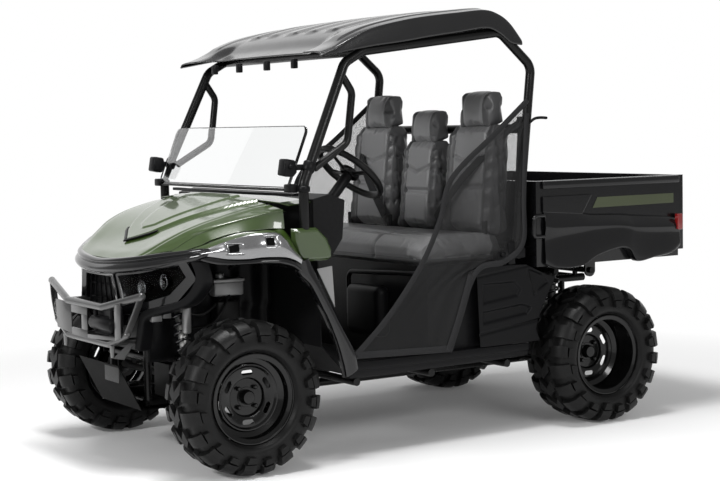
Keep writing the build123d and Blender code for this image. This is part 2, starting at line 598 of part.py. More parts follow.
with BuildPart() as fascia:
    for side in (1, -1):
        skin_front([(side * x, line) for x, line in (
            (0, [brow_foot(0), (-1346, 700), (-1330, 590), (-1290, 480)]),
            (200, [brow_foot(200), (-1334, 700), (-1318, 590), (-1280, 500)]),
            (300, [brow_foot(300), (-1308, 700), (-1298, 630), (-1268, 570)]),
            (540, [brow_foot(540), (-1190, 800), (-1184, 750), (-1170, 720)]),
        )])
    block((-150, -1400, 600), (150, -1200, 740), mode=Mode.SUBTRACT)
    for x in (FRAME_HALF, -FRAME_HALF):
        for z in (BUMPER_LOW_Z, BUMPER_HIGH_Z):
            tube([(x, bumper_y, z), (x, FRAME_FRONT_Y, z)], STAY_TUBE + GAP, mode=Mode.SUBTRACT)
save(fascia, "fascia")

with BuildPart() as headlamps:
    for side in (1, -1):
        ruled([(station_x(side * x), [(y, z - h), (y, z + h), (y + 60, z + h), (y + 60, z - h)])
               for x, y, z, h in ((220, -1316, 760, 26), (420, -1236, 800, 26))])
save(headlamps, "headlamps")

with BuildPart() as grille:
    block((-150 + GAP, -1322, 600 + GAP), (150 - GAP, -1310, 740 - GAP))
    with Locations((0, -1316, 670)):
        with GridLocations(74, 0, 4, 1):
            Box(58, 40, 118, mode=Mode.SUBTRACT)
save(grille, "grille")

with BuildPart() as front_fenders:
    skin_over([
        (-1200, [(480, 925), (600, 922), (690, 905), (700, 868)]),
        (-1014, [(600, 1006), (640, 985), (690, 952), (700, 866)]),
        (-870, [(612, 1030), (640, 1005), (690, 972), (700, 862)]),
        (-745, [(620, 980), (650, 930), (690, 885), (700, 838)]),
    ], wall=6)
    plate([(-745, 838), (-700, 838), (-632, 721), (-563, 596), (-525, 530), (-486, 464), (-471, 394),
           (-529, 352), (-537, 401), (-565, 495), (-619, 610), (-682, 734)], station_x(CAB_HALF), 34)
    # flange that joins the skin to the leg
    block((CAB_HALF, -752, 838), (698, -738, 880))
    mirror(about=Plane.YZ)
save(front_fenders, "front_fenders")


# ---------------------------------------------------------------- cab
with BuildPart() as cage:
    for side in (1, -1):
        x = side * CAGE_X
        foot = side * CAGE_FOOT_X
        tube([(foot, -700, PILLAR_FOOT_Z), (foot, -700, 1166), (x, -468, 1663), (x, -380, 1712),
              (x, 350, 1800), (x, 525, 1650), (x, 430, 826)], CAGE_TUBE, bend=70)
        tube([(x, -488, 1618), (x, -434, 1540), (x, -462, 1330), (side * 630, -640, 1225)], 16, bend=50)
    for y, z in ((-370, 1713), (340, 1799), (492, 1370)):
        tube([(-CAGE_X, y, z), (CAGE_X, y, z)], CAGE_TUBE)
save(cage, "roll_cage")

with BuildPart() as roof:
    # y, height of the roof's shoulder, height of the skirt's lower edge
    stations = [(ROOF_FRONT_Y, 1706, 1676), (-460, 1762, 1708), (-318, 1815, 1735), (-50, 1865, 1775),
                (250, 1893, 1816), (330, 1878, 1790), (400, 1836, 1745), (ROOF_REAR_Y, 1774, 1740)]
    sections = []
    for y, top, low in stations:
        edge = CAGE_X + CAGE_TUBE + 12
        outer = across([(0, top + 12), (540, top + 8), (604, top), (edge, top - 18), (edge, low)])
        inner = across([(0, top + 2), (536, top - 2), (598, top - 10), (edge - 10, top - 24), (edge - 10, low)])
        sections.append((station_y(y), outer + inner[::-1]))
    ruled(sections)
    block((-416, ROOF_FRONT_Y - 10, 1600), (416, -500, 1850), mode=Mode.SUBTRACT)
    # pads on the cage's two roof bars
    for y, z, under in ((-370, 1713, 1800), (340, 1799, 1876)):
        for x in (300, -300):
            block((x - 30, y - 15, z + CAGE_TUBE + GAP), (x + 30, y + 15, under))
save(roof, "roof")

with BuildPart() as windshield:
    low = (-747.0, 1144.0)
    high = (-642.0, 1401.0)
    plate([(low[0], low[1]), (high[0], high[1]), (high[0] + 5, high[1]), (low[0] + 5, low[1])],
          station_x(-600), 1200)
save(windshield, "windshield")

with BuildPart() as clamps:
    for side in (1, -1):
        block((side * 613 - 32, -790, 1200), (side * 613 + 32, -728, 1276))
        block((side * 622 - 12, -729, 1220), (side * 622 + 12, -660, 1250))
        block((side * 600 - 20, -760, 1132), (side * 600 + 40, -690, 1168))
        tube([(side * CAGE_FOOT_X, -700, PILLAR_FOOT_Z), (side * CAGE_FOOT_X, -700, 1166),
              (side * CAGE_X, -468, 1663), (side * CAGE_X, -380, 1712)], CAGE_TUBE + GAP, bend=70,
             mode=Mode.SUBTRACT)
    add(windshield.part, mode=Mode.SUBTRACT)
save(clamps, "lamp_blocks")

with BuildPart() as floor:
    plate([(-610, DASH_LOW_Z - GAP), (-600, 480), (-480, FLOOR_Z), (SEAT_BASE_REAR_Y, FLOOR_Z),
           (SEAT_BASE_REAR_Y, FLOOR_Z - SHEET), (-482, FLOOR_Z - SHEET), (-604, 478), (-614, DASH_LOW_Z - GAP)],
          station_x(-sill_inner), 2 * sill_inner)
save(floor, "floor")

with BuildPart() as dash:
    plate([(COWL_REAR_Y + GAP, 1100), (-560, 1118), (DASH_REAR_Y, 1090), (-500, 930), (-560, DASH_LOW_Z),
           (COWL_REAR_Y + GAP, DASH_LOW_Z)], station_x(-CAGE_FOOT_X + CAGE_TUBE + 6), 2 * (CAGE_FOOT_X - CAGE_TUBE - 6))
save(dash, "dash")

with BuildPart() as seat_base:
    block((-590, SEAT_FRONT_Y, FLOOR_Z + GAP), (590, SEAT_BASE_REAR_Y, SEAT_BASE_TOP_Z - GAP))
    block((-582, SEAT_FRONT_Y + 8, FLOOR_Z - 1), (582, SEAT_BASE_REAR_Y - 8, SEAT_BASE_TOP_Z - 8),
          mode=Mode.SUBTRACT)
save(seat_base, "seat_base")

with BuildPart() as seat_cushion:
    plate([(-93, SEAT_BASE_TOP_Z), (SEAT_BASE_REAR_Y - 40, SEAT_BASE_TOP_Z), (330, CUSHION_TOP_Z - 12),
           (60, CUSHION_TOP_Z - 6), (-20, CUSHION_TOP_Z - 20), (-88, 840)], station_x(-SEAT_HALF), 2 * SEAT_HALF)
save(seat_cushion, "seat_cushion")

# place, middle, half width, top of the back, half width and top of the headrest
SEATS = [("left", 400.0, 186.0, 1400.0, 110.0, 1545.0), ("centre", 0.0, 150.0, 1330.0, 100.0, 1466.0),
         ("right", -400.0, 186.0, 1400.0, 110.0, 1545.0)]
for place, x, half, top, _, _ in SEATS:
    with BuildPart() as seatback:
        lean = (top - CUSHION_TOP_Z) * 0.1
        foot_z = REAR_FOOT_Z + FRAME_TUBE + GAP
        plate([(300, CUSHION_TOP_Z + GAP), (300 + lean, top), (400 + lean * 0.8, top), (REAR_FOOT_Y, foot_z),
               (388, foot_z), (352, 880), (338, CUSHION_TOP_Z + GAP)], station_x(x - half), 2 * half)
    save(seatback, f"seatback_{place}")
with BuildPart() as headrests:
    for place, x, half, top, head_half, head_top in SEATS:
        lean = (top - CUSHION_TOP_Z) * 0.1
        plate([(310 + lean, top + GAP), (322 + lean, head_top), (400 + lean, head_top), (395 + lean, top + GAP)],
              station_x(x - head_half), 2 * head_half)
save(headrests, "headrests")

with BuildPart() as rockers:
    plate([(-490, 332), (479, 340), (479, 404), (-480, 404)], station_x(CAB_HALF - SILL_WIDTH), SILL_WIDTH)
    mirror(about=Plane.YZ)
save(rockers, "rockers")

with BuildPart() as side_panels:
    plate([(184, 763), (390, 759), (466, 758), (573, 707), (632, 700), (631, 682), (543, 542), (515, 460),
           (540, 404 + GAP), (184, 404 + GAP)], station_x(CAB_HALF - 24), 24)
    mirror(about=Plane.YZ)
save(side_panels, "side_panels")

with BuildPart() as side_nets:
    plate([(480, 1498), (57, 1163), (-468, 425), (31, 404 + GAP), (192, 787), (440, 787), (462, 1200)],
          station_x(CAB_HALF + GAP), 5)
    mirror(about=Plane.YZ)
save(side_nets, "side_nets")


# ---------------------------------------------------------------- steering wheel, column and controls
tilt = radians(WHEEL_TILT)
up_column = Vector(0, cos(tilt), sin(tilt))
hub = Vector(WHEEL_X, WHEEL_Y, WHEEL_Z)
column_plane = Plane(origin=hub, x_dir=(1, 0, 0), z_dir=up_column)
with BuildPart() as steering_wheel:
    with Locations(column_plane):
        Torus(WHEEL_RADIUS - 14, 14)
        Cylinder(44, 34)
        for turn in (0, 180, 270):
            with Locations(Location((0, 0, 0), (0, 0, turn))):
                with Locations((WHEEL_RADIUS / 2 - 7, 0, 0)):
                    Box(WHEEL_RADIUS - 30, 34, 10)
save(steering_wheel, "steering_wheel")

with BuildPart() as column:
    top = hub - up_column * (17 + GAP)
    tube([tuple(top), tuple(hub - up_column * 330)], 24)
    add(dash.part, mode=Mode.SUBTRACT)
save(column, "steering_column")

with BuildPart() as rack:
    tube([(-RACK_HALF, RACK_Y, RACK_Z), (RACK_HALF, RACK_Y, RACK_Z)], RACK_HOUSING)
    for x in (110, -110):
        block((x - 12, RACK_Y - 14, LOWER_RAIL_Z + FRAME_TUBE - 3 + GAP), (x + 12, RACK_Y + 14, RACK_Z))
    with Locations(Plane(origin=(0, RACK_Y, RACK_Z), z_dir=(1, 0, 0))):
        Cylinder(RACK_BAR + RUNNING, 2 * RACK_HALF + 10, mode=Mode.SUBTRACT)
save(rack, "steering_rack")

with BuildPart() as levers:
    block((60, -330, FLOOR_Z + GAP), (120, -270, FLOOR_Z + 8))
    tube([(90, -300, FLOOR_Z + 6), (90, -380, 720)], 9)
    tube([(90, -380, 720), (90, -392, 770)], 18)
save(levers, "shift_lever")

with BuildPart() as pedals:
    for x, wide in ((300, 34), (420, 26)):
        tube([(x, -520, 600), (x, -575, DASH_LOW_Z - 30)], 7)
        block((x - 12, -587, DASH_LOW_Z - 36), (x + 12, -563, DASH_LOW_Z - GAP))
        block((x - wide, -530, 560), (x + wide, -518, 630))
save(pedals, "pedals")


# ---------------------------------------------------------------- bed
bed_rear_y = REAR_END_Y - GATE_THICK - 3
with BuildPart() as bed:
    inside = BED_HALF - BED_WALL
    block((-BED_HALF, BED_FRONT_Y, BED_FLOOR_Z), (BED_HALF, bed_rear_y, BED_RIM_Z))
    block((-inside, BED_FRONT_Y + BED_WALL, BED_FLOOR_Z + BED_WALL), (inside, bed_rear_y + 1, BED_RIM_Z + 1),
          mode=Mode.SUBTRACT)
    for x in (230, -230):
        block((x - 24, BED_FRONT_Y + 60, REAR_RAIL_Z + FRAME_TUBE + 86), (x + 24, BED_HINGE_Y + 30, BED_FLOOR_Z + 1))
    ear = FRAME_HALF + 110
    for x in (ear, -ear):
        block((x - 6, BED_HINGE_Y - 32, BED_HINGE_Z), (x + 6, BED_HINGE_Y + 32, BED_FLOOR_Z + 1))
        with Locations(Plane(origin=(x, BED_HINGE_Y, BED_HINGE_Z), z_dir=(1, 0, 0))):
            Cylinder(32, 12)
            Cylinder(HINGE_TUBE + RUNNING, 14, mode=Mode.SUBTRACT)
save(bed, "cargo_bed")

with BuildPart() as bed_fenders:
    arch = [(BED_FRONT_Y + 40, 751), (594, 729), (741, 734), (834, 773), (967, 801), (1035, 791), (1087, 733),
            (1310, 759), (bed_rear_y, 791)]
    plate(arch + [(bed_rear_y, 1058), (840, 1057), (784, 963), (BED_FRONT_Y + 40, 985)],
          station_x(BED_HALF + GAP), BED_FLARE * 0.3)
    plate(arch + [(bed_rear_y, 870), (BED_FRONT_Y + 40, 870)], station_x(BED_HALF + GAP), BED_FLARE)
    mirror(about=Plane.YZ)
save(bed_fenders, "bed_fenders")

with BuildPart() as tail_lamps:
    block((BED_HALF + GAP + BED_FLARE * 0.3 + GAP, bed_rear_y - 34, 870 + GAP),
          (BED_HALF + BED_FLARE, bed_rear_y, 950))
    mirror(about=Plane.YZ)
save(tail_lamps, "tail_lamps")

GATE_HINGE_Y = REAR_END_Y - GATE_THICK / 2
GATE_HINGE_Z = BED_FLOOR_Z + 12
with BuildPart() as tailgate:
    block((-BED_HALF + 4, REAR_END_Y - GATE_THICK, GATE_HINGE_Z + 18), (BED_HALF - 4, REAR_END_Y, BED_RIM_Z))
    for x in (420, -420):
        block((x - 30, GATE_HINGE_Y - 7, GATE_HINGE_Z), (x + 30, GATE_HINGE_Y + 7, GATE_HINGE_Z + 19))
        with Locations(Plane(origin=(x, GATE_HINGE_Y, GATE_HINGE_Z), z_dir=(1, 0, 0))):
            Cylinder(14, 60)
            Cylinder(GATE_HINGE + RUNNING, 62, mode=Mode.SUBTRACT)
save(tailgate, "tailgate")

with BuildPart() as gate_hinges:
    for x in (420, -420):
        with Locations(Plane(origin=(x, GATE_HINGE_Y, GATE_HINGE_Z), z_dir=(1, 0, 0))):
            Cylinder(GATE_HINGE, 100)
        for end in (x - 44, x + 36):
            block((end, bed_rear_y + GAP, GATE_HINGE_Z - 10), (end + 8, GATE_HINGE_Y + 8, GATE_HINGE_Z + 10))
save(gate_hinges, "gate_hinges")
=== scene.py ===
# %% [markdown]
# # A side-by-side utility vehicle
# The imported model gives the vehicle's construction: frame, joints, wheels and panels at their real size.
# This notebook dresses it. Each visible surface is computed with numpy as a function of two parameters,
# or as a profile carried along a path, and gets a finish built from shader nodes.

# %% Load the frame
from math import cos, pi, radians, sin

import bmesh
import bpy
import numpy as np
from mathutils import Matrix, Vector


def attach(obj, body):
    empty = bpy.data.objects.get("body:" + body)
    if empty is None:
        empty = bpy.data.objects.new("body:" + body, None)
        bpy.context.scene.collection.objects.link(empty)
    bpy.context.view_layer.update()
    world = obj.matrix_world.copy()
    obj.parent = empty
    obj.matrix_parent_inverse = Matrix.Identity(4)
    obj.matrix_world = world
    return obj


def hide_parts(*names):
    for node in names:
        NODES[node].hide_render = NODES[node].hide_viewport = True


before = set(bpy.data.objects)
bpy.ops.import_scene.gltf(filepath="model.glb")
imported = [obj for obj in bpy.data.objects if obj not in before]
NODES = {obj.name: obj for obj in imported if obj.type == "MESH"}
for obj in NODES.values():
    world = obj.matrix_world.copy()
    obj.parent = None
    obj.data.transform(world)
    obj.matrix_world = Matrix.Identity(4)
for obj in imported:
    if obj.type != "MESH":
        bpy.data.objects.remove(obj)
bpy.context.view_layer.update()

# %% [markdown]
# ## Shared tools
# A panel on this vehicle is a thin moulding with a gentle double curve. It could be pushed about by hand,
# but a small table of control points with a cubic interpolation between them is easier to read and to
# change. `basis` holds the weights of that interpolation, so a whole surface is two matrix products.

# %% Interpolation and grids
def basis(count, samples):
    """Catmull-Rom weights: row i says how much each of `count` points adds at sample i.
    With t between 0 and 1 on a span, the weights of its four points are the cubic's coefficients."""
    place = np.linspace(0, count - 1, samples)
    span = np.minimum(place.astype(int), count - 2)
    t = place - span
    weights = 0.5 * np.stack([-t + 2 * t**2 - t**3, 2 - 5 * t**2 + 3 * t**3,
                              t + 4 * t**2 - 3 * t**3, -t**2 + t**3], axis=1)
    table = np.zeros((samples, count))
    for k in range(4):
        column = np.clip(span + k - 1, 0, count - 1)
        np.add.at(table, (np.arange(samples), column), weights[:, k])
    return table


def net(points, rows=24, columns=24):
    """Grid of points interpolated through a small net of control points, in metres."""
    points = np.asarray(points, float)
    return np.einsum("ia,abk,jb->ijk", basis(points.shape[0], rows), points, basis(points.shape[1], columns))


def line_through(points, samples=32):
    """Smooth line through a few points: the interpolation weights times the points."""
    return basis(len(points), samples) @ np.asarray(points, float)


def grid_faces(rows, columns, wrap_rows=False, wrap_columns=False):
    """Quads of a grid whose vertex (i, j) has number i * columns + j."""
    i = np.arange(rows if wrap_rows else rows - 1)[:, None]
    j = np.arange(columns if wrap_columns else columns - 1)[None, :]
    i2, j2 = (i + 1) % rows, (j + 1) % columns
    return np.stack([i * columns + j, i2 * columns + j, i2 * columns + j2, i * columns + j2],
                    axis=-1).reshape(-1, 4)


def step_up(distance, width):
    """Smooth step from 0 to 1 as the distance goes from 0 to the width: 3 t^2 - 2 t^3."""
    t = np.clip(distance / width, 0, 1)
    return 3 * t**2 - 2 * t**3


def channel(distance, width, depth):
    """Rounded channel: a cosine bowl of the width and depth about distance 0."""
    t = np.clip(np.abs(distance) / width, 0, 1)
    return depth * 0.5 * (1 + np.cos(pi * t))


def circle(count):
    """Angles of a full turn, in even steps."""
    return np.linspace(0, 2 * pi, count, endpoint=False)


def unit(vectors):
    """Vectors of length 1 in the same directions."""
    return vectors / np.linalg.norm(vectors, axis=-1, keepdims=True)


# %% Meshes
def mesh_object(name, vertices, faces, smooth=True):
    """Object at the origin whose mesh holds the vertices and faces."""
    mesh = bpy.data.meshes.new(name)
    mesh.from_pydata(np.asarray(vertices, float).reshape(-1, 3).tolist(), [], [list(f) for f in faces])
    mesh.validate()
    mesh.shade_smooth() if smooth else mesh.shade_flat()
    piece = bpy.data.objects.new(name, mesh)
    bpy.context.scene.collection.objects.link(piece)
    return piece


def grid_object(name, grid, wrap_rows=False, wrap_columns=False, caps=False):
    """Surface piece from a grid of points; caps close the two ends of a tube."""
    rows, columns = grid.shape[:2]
    faces = grid_faces(rows, columns, wrap_rows, wrap_columns).tolist()
    if caps:
        faces += [list(range(columns))[::-1], [(rows - 1) * columns + j for j in range(columns)]]
    return mesh_object(name, grid, faces)


def triples(items, value="co"):
    """Values of a mesh's vertices or faces, such as their places, as an array of three columns."""
    values = np.empty(len(items) * 3)
    items.foreach_get(value, values)
    return values.reshape(-1, 3)


def move_to(piece, points):
    """Put a piece's vertices at new places."""
    piece.data.vertices.foreach_set("co", points.ravel())
    piece.data.update()


def tidy_normals(piece):
    """Merge doubled points and turn all faces outwards."""
    work = bmesh.new()
    work.from_mesh(piece.data)
    bmesh.ops.remove_doubles(work, verts=work.verts, dist=1e-5)
    bmesh.ops.recalc_face_normals(work, faces=work.faces)
    work.to_mesh(piece.data)
    work.free()
    return piece


def modify(piece, kind, **values):
    """Add a modifier with the given values."""
    modifier = piece.modifiers.new(kind.title(), kind)
    for key, value in values.items():
        setattr(modifier, key, value)
    return modifier


def soften(piece, width=0.002, segments=2):
    """Round a piece's edges, as a moulded or pressed part's edges are."""
    modify(piece, "BEVEL", width=width, segments=segments, limit_method="ANGLE", angle_limit=radians(35),
           harden_normals=False)
    modify(piece, "WEIGHTED_NORMAL", keep_sharp=True)
    return piece


def panel(name, grid, wall, **wraps):
    """Thin moulding: a surface with a wall behind it, its faces outwards."""
    piece = grid_object(name, grid, **wraps)
    modify(piece, "SOLIDIFY", thickness=wall, offset=-1.0)
    return tidy_normals(piece)


def evaluated(piece):
    """Mesh of a piece with its modifiers applied."""
    return piece.evaluated_get(bpy.context.evaluated_depsgraph_get()).to_mesh()


def join(pieces, name):
    """One object from several, their modifiers applied."""
    vertices, faces, smooth, start = [], [], [], 0
    for piece in pieces:
        done = evaluated(piece)
        vertices.append(triples(done.vertices))
        faces += [[v + start for v in polygon.vertices] for polygon in done.polygons]
        smooth += [polygon.use_smooth for polygon in done.polygons]
        start += len(done.vertices)
    for piece in pieces:
        bpy.data.objects.remove(piece)
    whole = mesh_object(name, np.concatenate(vertices), faces)
    whole.data.polygons.foreach_set("use_smooth", smooth)
    return whole


def mirrored(piece, name):
    """Copy of a finished piece on the other side of the vehicle."""
    done = evaluated(piece)
    other = mesh_object(name, triples(done.vertices) * [-1, 1, 1],
                        [list(polygon.vertices)[::-1] for polygon in done.polygons])
    other.data.polygons.foreach_set("use_smooth", [polygon.use_smooth for polygon in done.polygons])
    for slot in piece.data.materials:
        other.data.materials.append(slot)
    return other


def settle(piece, material, body="chassis", node=None, crease=None, both=False):
    """Give a piece its finish, mark its creases sharper than an angle, and let it ride on its body.
    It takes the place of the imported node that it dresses. `both` adds its image on the right."""
    if crease:
        piece.data.set_sharp_from_angle(angle=radians(crease))
    piece.data.materials.append(material)
    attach(piece, body)
    if node:
        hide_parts(node)
    if both:
        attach(mirrored(piece, piece.name + "_right"), body)
    return piece


# %% Bars, straps, turned parts, blocks and plates; those that get joined need no name of their own
def bar(path, radius, sides=16, name="part"):
    """Round bar along a path: a circle across the path at each point, turned as little as possible."""
    path = np.asarray(path, float)
    tangent = unit(np.gradient(path, axis=0))
    up = np.array([0, 0, 1.0]) if abs(tangent[0, 2]) < 0.9 else np.array([0, 1.0, 0])
    ups = []
    for direction in tangent:
        up = unit(up - direction * (up @ direction))
        ups.append(up)
    side = np.cross(ups, tangent)
    turn = circle(sides)[None, :, None]
    ring = np.cos(turn) * side[:, None] + np.sin(turn) * np.array(ups)[:, None]
    radius = np.broadcast_to(radius, len(path))[:, None, None]
    return grid_object(name, path[:, None] + radius * ring, wrap_columns=True, caps=True)


def rod(path, radius, sides=24, name="part"):
    """Round bar whose two ends are closed by slightly domed caps."""
    path = np.asarray(path, float)
    first, last = unit(path[1] - path[0]), unit(path[-1] - path[-2])
    inwards, shrink = np.array([0.0, 0.003, 0.007]), np.array([0.55, 0.9, 1.0])
    whole = np.concatenate([path[0] + first * inwards[:, None], path[1:-1],
                            path[-1] - last * inwards[::-1, None]])
    return bar(whole, radius * np.concatenate([shrink, np.ones(len(path) - 2), shrink[::-1]]), sides, name)


def bent(points, bend, steps=14):
    """Line through the points with its corners rounded to a radius by arcs that touch both legs."""
    points = np.asarray(points, float)
    path = [points[0]]
    for before, corner, after in zip(points[:-2], points[1:-1], points[2:]):
        legs = np.linalg.norm(before - corner), np.linalg.norm(after - corner)
        a, b = (before - corner) / legs[0], (after - corner) / legs[1]
        half = np.arccos(np.clip(a @ b, -1, 1)) / 2
        reach = min(bend / np.tan(half), 0.48 * legs[0], 0.48 * legs[1])
        centre = corner + unit(a + b) * reach * np.tan(half) / np.sin(half)
        start, end = corner + a * reach - centre, corner + b * reach - centre
        t, arc = np.linspace(0, 1, steps)[:, None], pi - 2 * half
        path.extend(centre + (start * np.sin((1 - t) * arc) + end * np.sin(t * arc)) / np.sin(arc))
    path.append(points[-1])
    return np.array(path)


# rounded rectangle between -1 and 1 both ways
STRAP_SECTION = np.array([(-1, -0.5), (-0.96, -1), (0.96, -1), (1, -0.5), (1, 0.5), (0.96, 1), (-0.96, 1),
                          (-1, 0.5)])


def strap(path, width, thickness, normal, name="part"):
    """Flat strap along a path, its wide side square to the given normal."""
    path = np.asarray(path, float)
    tangent = unit(np.gradient(path, axis=0))
    across = unit(np.cross(tangent, np.broadcast_to(np.asarray(normal, float), path.shape)))
    out = np.cross(across, tangent)
    grid = (path[:, None] + STRAP_SECTION[None, :, :1] * width / 2 * across[:, None]
            + STRAP_SECTION[None, :, 1:] * thickness / 2 * out[:, None])
    return grid_object(name, grid, wrap_columns=True, caps=True)


def turned(profile, centre, side=1, steps=96, ring=True):
    """Surface of revolution about the vehicle's X axis: (distance out, radius) pairs swept round.
    The profile is a ring's closed section, or an open line that starts and ends on the axis."""
    profile = np.asarray(profile, float)
    angle = circle(steps)[:, None]
    x = np.broadcast_to(side * profile[:, 0], (steps, len(profile)))
    y = centre[1] + profile[:, 1] * np.sin(angle)
    z = centre[2] + profile[:, 1] * np.cos(angle)
    return tidy_normals(grid_object("part", np.stack([x, y, z], axis=-1), wrap_rows=True, wrap_columns=ring))


BOX_FACES = [(0, 1, 3, 2), (4, 6, 7, 5), (0, 4, 5, 1), (2, 3, 7, 6), (0, 2, 6, 4), (1, 5, 7, 3)]


def block(low, high, width=0.004, segments=3, name="part"):
    """Moulded block between two corners, with rounded edges."""
    upper = np.array([(i, j, k) for i in (0, 1) for j in (0, 1) for k in (0, 1)]) == 1
    corners = np.where(upper, np.maximum(low, high), np.minimum(low, high))
    return soften(mesh_object(name, corners, BOX_FACES), width, segments)


def plate(outline, start, end, axis=0, name="part"):
    """Flat plate: an outline in the two other axes, carried from start to end along an axis."""
    count = len(outline)
    ends = [np.insert(np.asarray(outline, float), axis, place, axis=1) for place in (start, end)]
    faces = [list(range(count)), list(range(2 * count - 1, count - 1, -1))]
    faces += [[i, i + count, (i + 1) % count + count, (i + 1) % count] for i in range(count)]
    return tidy_normals(mesh_object(name, np.concatenate(ends), faces, smooth=False))


def box_of(node):
    """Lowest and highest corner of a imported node."""
    points = triples(NODES[node].data.vertices)
    return points.min(axis=0), points.max(axis=0)

# %% [markdown]
# ## Finishes
# Every finish here is a Principled BSDF fed by a few shared node groups: fine grain for moulded plastic,
# slow colour variation, worn edges, and weaves. A group puts out colours, masks and heights only, so the
# same group can serve paint, plastic and rubber with its own values in each.

# %% Helpers for shader nodes
class Builder:
    """Adds nodes to a tree and links them by socket names."""

    def __init__(self, tree):
        self.tree = tree

    def fill(self, node, values):
        """Give inputs their values, or a link where the value is another node's socket."""
        for key, value in values.items():
            if isinstance(value, bpy.types.NodeSocket):
                self.tree.links.new(value, node.inputs[key])
            else:
                node.inputs[key].default_value = value
        return node

    def add(self, kind, values=None, **settings):
        """New node with its settings and inputs."""
        node = self.tree.nodes.new(kind)
        for key, value in settings.items():
            setattr(node, key, value)
        return self.fill(node, values or {})

    def math(self, operation, a, b=0.5, clamp=False):
        return self.add("ShaderNodeMath", {0: a, 1: b}, operation=operation, use_clamp=clamp).outputs[0]

    def spread(self, value, low, high):
        """Map value's range low..high onto 0..1."""
        return self.add("ShaderNodeMapRange", {"Value": value, "From Min": low, "From Max": high}).outputs[0]

    def noise(self, place, scale, detail):
        values = {"Vector": place, "Scale": scale, "Detail": detail}
        return self.add("ShaderNodeTexNoise", values).outputs["Fac"]

    def scaled(self, colour, factor):
        """Colour times a factor."""
        return self.add("ShaderNodeVectorMath", {0: colour, "Scale": factor}, operation="SCALE").outputs[0]

    def bump(self, height, strength):
        """Normal bent by a height that is given in millimetres."""
        values = {"Height": height, "Strength": strength, "Distance": 0.001}
        return self.add("ShaderNodeBump", values).outputs["Normal"]


FLOAT, COLOUR = "NodeSocketFloat", "NodeSocketColor"


def new_group(name, inputs, outputs):
    """Builder, inputs and end of a new shader group; inputs are (name, kind, default)."""
    group = bpy.data.node_groups.new(name, "ShaderNodeTree")
    for label, kind, default in inputs:
        group.interface.new_socket(label, in_out="INPUT", socket_type=kind).default_value = default
    for label, kind in outputs:
        group.interface.new_socket(label, in_out="OUTPUT", socket_type=kind)
    return Builder(group), group.nodes.new("NodeGroupInput").outputs, group.nodes.new("NodeGroupOutput")


def new_material(name):
    """Material, the builder of its nodes and its Principled shader."""
    material = bpy.data.materials.new(name)
    material.use_nodes = True
    return material, Builder(material.node_tree), material.node_tree.nodes["Principled BSDF"]


# %% Grain group: moulded texture, with roughness that varies slowly over the surface
make, given, end = new_group("moulded_grain",
                             [("Scale", FLOAT, 900.0), ("Rough", FLOAT, 0.5), ("Spread", FLOAT, 0.08)],
                             [("Height", FLOAT), ("Roughness", FLOAT)])
grain_group = make.tree
place = make.add("ShaderNodeTexCoord").outputs["Object"]
pebble = make.add("ShaderNodeTexVoronoi", {"Vector": place, "Scale": given["Scale"]}, feature="SMOOTH_F1")
offset = make.math("MULTIPLY", make.math("SUBTRACT", make.noise(place, 7.0, 4.0), 0.5), given["Spread"])
rough = make.math("ADD", given["Rough"], make.math("MULTIPLY", offset, 2.0))
make.fill(end, {"Height": pebble.outputs["Distance"], "Roughness": rough})

# %% Wear group: convex edges a little lighter, and slow colour variation
make, given, end = new_group("edge_wear",
                             [("Colour", COLOUR, (0.1, 0.1, 0.1, 1)), ("Edge", COLOUR, (0.3, 0.3, 0.3, 1)),
                              ("Amount", FLOAT, 0.4), ("Variation", FLOAT, 0.15)],
                             [("Colour", COLOUR), ("Mask", FLOAT)])
wear_group = make.tree
place = make.add("ShaderNodeTexCoord").outputs["Object"]
edge = make.spread(make.add("ShaderNodeNewGeometry").outputs["Pointiness"], 0.515, 0.58)
scratch = make.spread(make.noise(place, 60.0, 6.0), 0.35, 0.65)
mask = make.math("MULTIPLY", make.math("MULTIPLY", edge, given["Amount"]), scratch, clamp=True)
shade = make.math("MULTIPLY", make.math("SUBTRACT", make.noise(place, 3.0, 3.0), 0.5), given["Variation"])
tinted = make.scaled(given["Colour"], make.math("ADD", shade, 1.0))
worn = make.add("ShaderNodeMix", {0: mask, 6: tinted, 7: given["Edge"]}, data_type="RGBA")
make.fill(end, {"Colour": worn.outputs[2], "Mask": mask})

# %% Weave group: crossed threads in the piece's own UV map, with a mask that is 0 in the holes
make, given, end = new_group("weave", [("Threads", FLOAT, 300.0), ("Thread Width", FLOAT, 0.5)],
                             [("Height", FLOAT), ("Mask", FLOAT)])
weave_group = make.tree
split = make.add("ShaderNodeSeparateXYZ", {0: make.add("ShaderNodeUVMap").outputs["UV"]})
bands = []
for axis in ("X", "Y"):
    phase = make.math("FRACT", make.math("MULTIPLY", split.outputs[axis], given["Threads"]))
    bands.append(make.math("ABSOLUTE", make.math("SUBTRACT", phase, 0.5)))
thread = make.math("MINIMUM", *bands)
solid = make.math("LESS_THAN", thread, make.math("MULTIPLY", given["Thread Width"], 0.5))
make.fill(end, {"Height": make.math("SUBTRACT", 0.5, thread), "Mask": solid})


